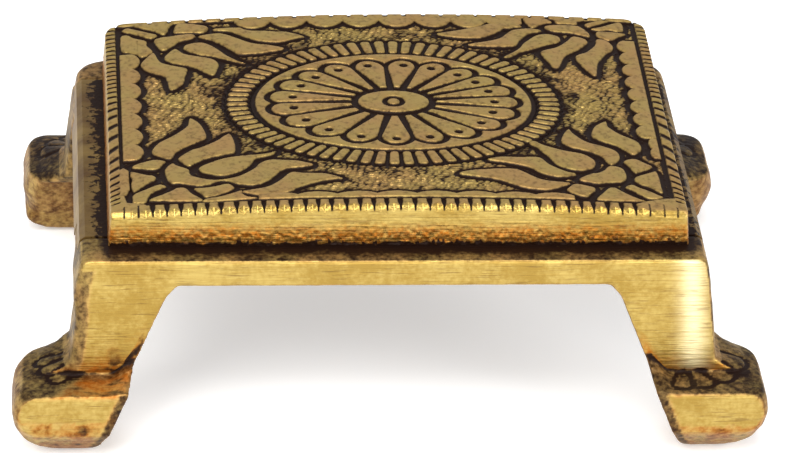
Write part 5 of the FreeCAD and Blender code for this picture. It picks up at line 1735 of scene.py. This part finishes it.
def soft_light(name, place, target, size, power, colour):
    """A square soft box turned to the target."""
    light = bpy.data.lights.new(name, "AREA")
    light.shape = "SQUARE"
    light.size = size
    light.energy = power
    light.color = colour
    box = bpy.data.objects.new(name, light)
    bpy.context.scene.collection.objects.link(box)
    box.location = place
    box.rotation_euler = (Vector(target) - Vector(place)).to_track_quat("-Z", "Y").to_euler()


def build_lights():
    """A pale room, darker overhead, and the soft boxes."""
    world = bpy.data.worlds.new("pale_room")
    bpy.context.scene.world = world
    world.use_nodes = True
    tree = world.node_tree
    tree.nodes.clear()
    direction = tree.nodes.new("ShaderNodeTexCoord").outputs["Generated"]
    rise = add_node(tree, "ShaderNodeSeparateXYZ", Vector=direction).outputs[2]
    share = range_node(tree, rise, *ROOM_RISE_SHARES)
    colour = mix_colour(tree, share, solid(ROOM_WALL), solid(ROOM_CEILING))
    back = add_node(tree, "ShaderNodeBackground", Color=colour, Strength=ROOM_STRENGTH)
    add_node(tree, "ShaderNodeOutputWorld", Surface=back.outputs[0])
    for soft_box in SOFT_BOXES:
        soft_light(*soft_box)


CAMERA_PLACE = (-69.053, -859.686, 500.161)
CAMERA_YAW = 0.0853944
CAMERA_PITCH = 0.5055054
CAMERA_ROLL = 0.0384688
CAMERA_LENS = 220.80
SENSOR_WIDTH = 36
CLIP_START = 0.01


def build_camera():
    """The camera, where the photograph was taken from."""
    yaw = Matrix.Rotation(-CAMERA_YAW, 3, "Z")
    pitch = Matrix.Rotation(math.pi / 2 - CAMERA_PITCH, 3, "X")
    roll = Matrix.Rotation(CAMERA_ROLL, 3, "Z")
    lens = bpy.data.cameras.new("photo_camera")
    lens.lens = CAMERA_LENS
    lens.sensor_width = SENSOR_WIDTH
    lens.clip_start = CLIP_START
    camera = bpy.data.objects.new("photo_camera", lens)
    bpy.context.scene.collection.objects.link(camera)
    camera.matrix_world = Matrix.Translation(Vector(CAMERA_PLACE) * MM) @ (yaw @ pitch @ roll).to_4x4()
    bpy.context.scene.camera = camera


class BrassTablePanel(bpy.types.Panel):
    """Lists the steps and sizes of the table's looks."""

    bl_idname = "VIEW3D_PT_brass_table"
    bl_label = "Brass table"
    bl_space_type = "VIEW_3D"
    bl_region_type = "UI"
    bl_category = "Brass table"

    def draw(self, context):
        for step in STEPS:
            self.layout.operator(step.bl_idname)
        for name in CarvedTableSizes.__annotations__:
            self.layout.prop(context.scene.carved_table, name)


STEPS = (
    BuildPlateRim, BuildLeafFields, BuildRosette, BuildBeadRing, BuildPlateBody, BuildArches,
    FinishRailsAndScrews, BuildStage,
)
CLASSES = (CarvedTableSizes, *STEPS, BrassTablePanel)


def register():
    for cls in CLASSES:
        bpy.utils.register_class(cls)
    bpy.types.Scene.carved_table = PointerProperty(type=CarvedTableSizes)


def unregister():
    del bpy.types.Scene.carved_table
    for cls in reversed(CLASSES):
        bpy.utils.unregister_class(cls)


def main():
    register()
    bpy.ops.brass_table.plate_rim()
    bpy.ops.brass_table.leaf_fields()
    bpy.ops.brass_table.rosette()
    bpy.ops.brass_table.bead_ring()
    bpy.ops.brass_table.plate_body()
    bpy.ops.brass_table.arches()
    bpy.ops.brass_table.rails_and_screws()
    bpy.ops.brass_table.stage()


if __name__ == "__main__":
    main()
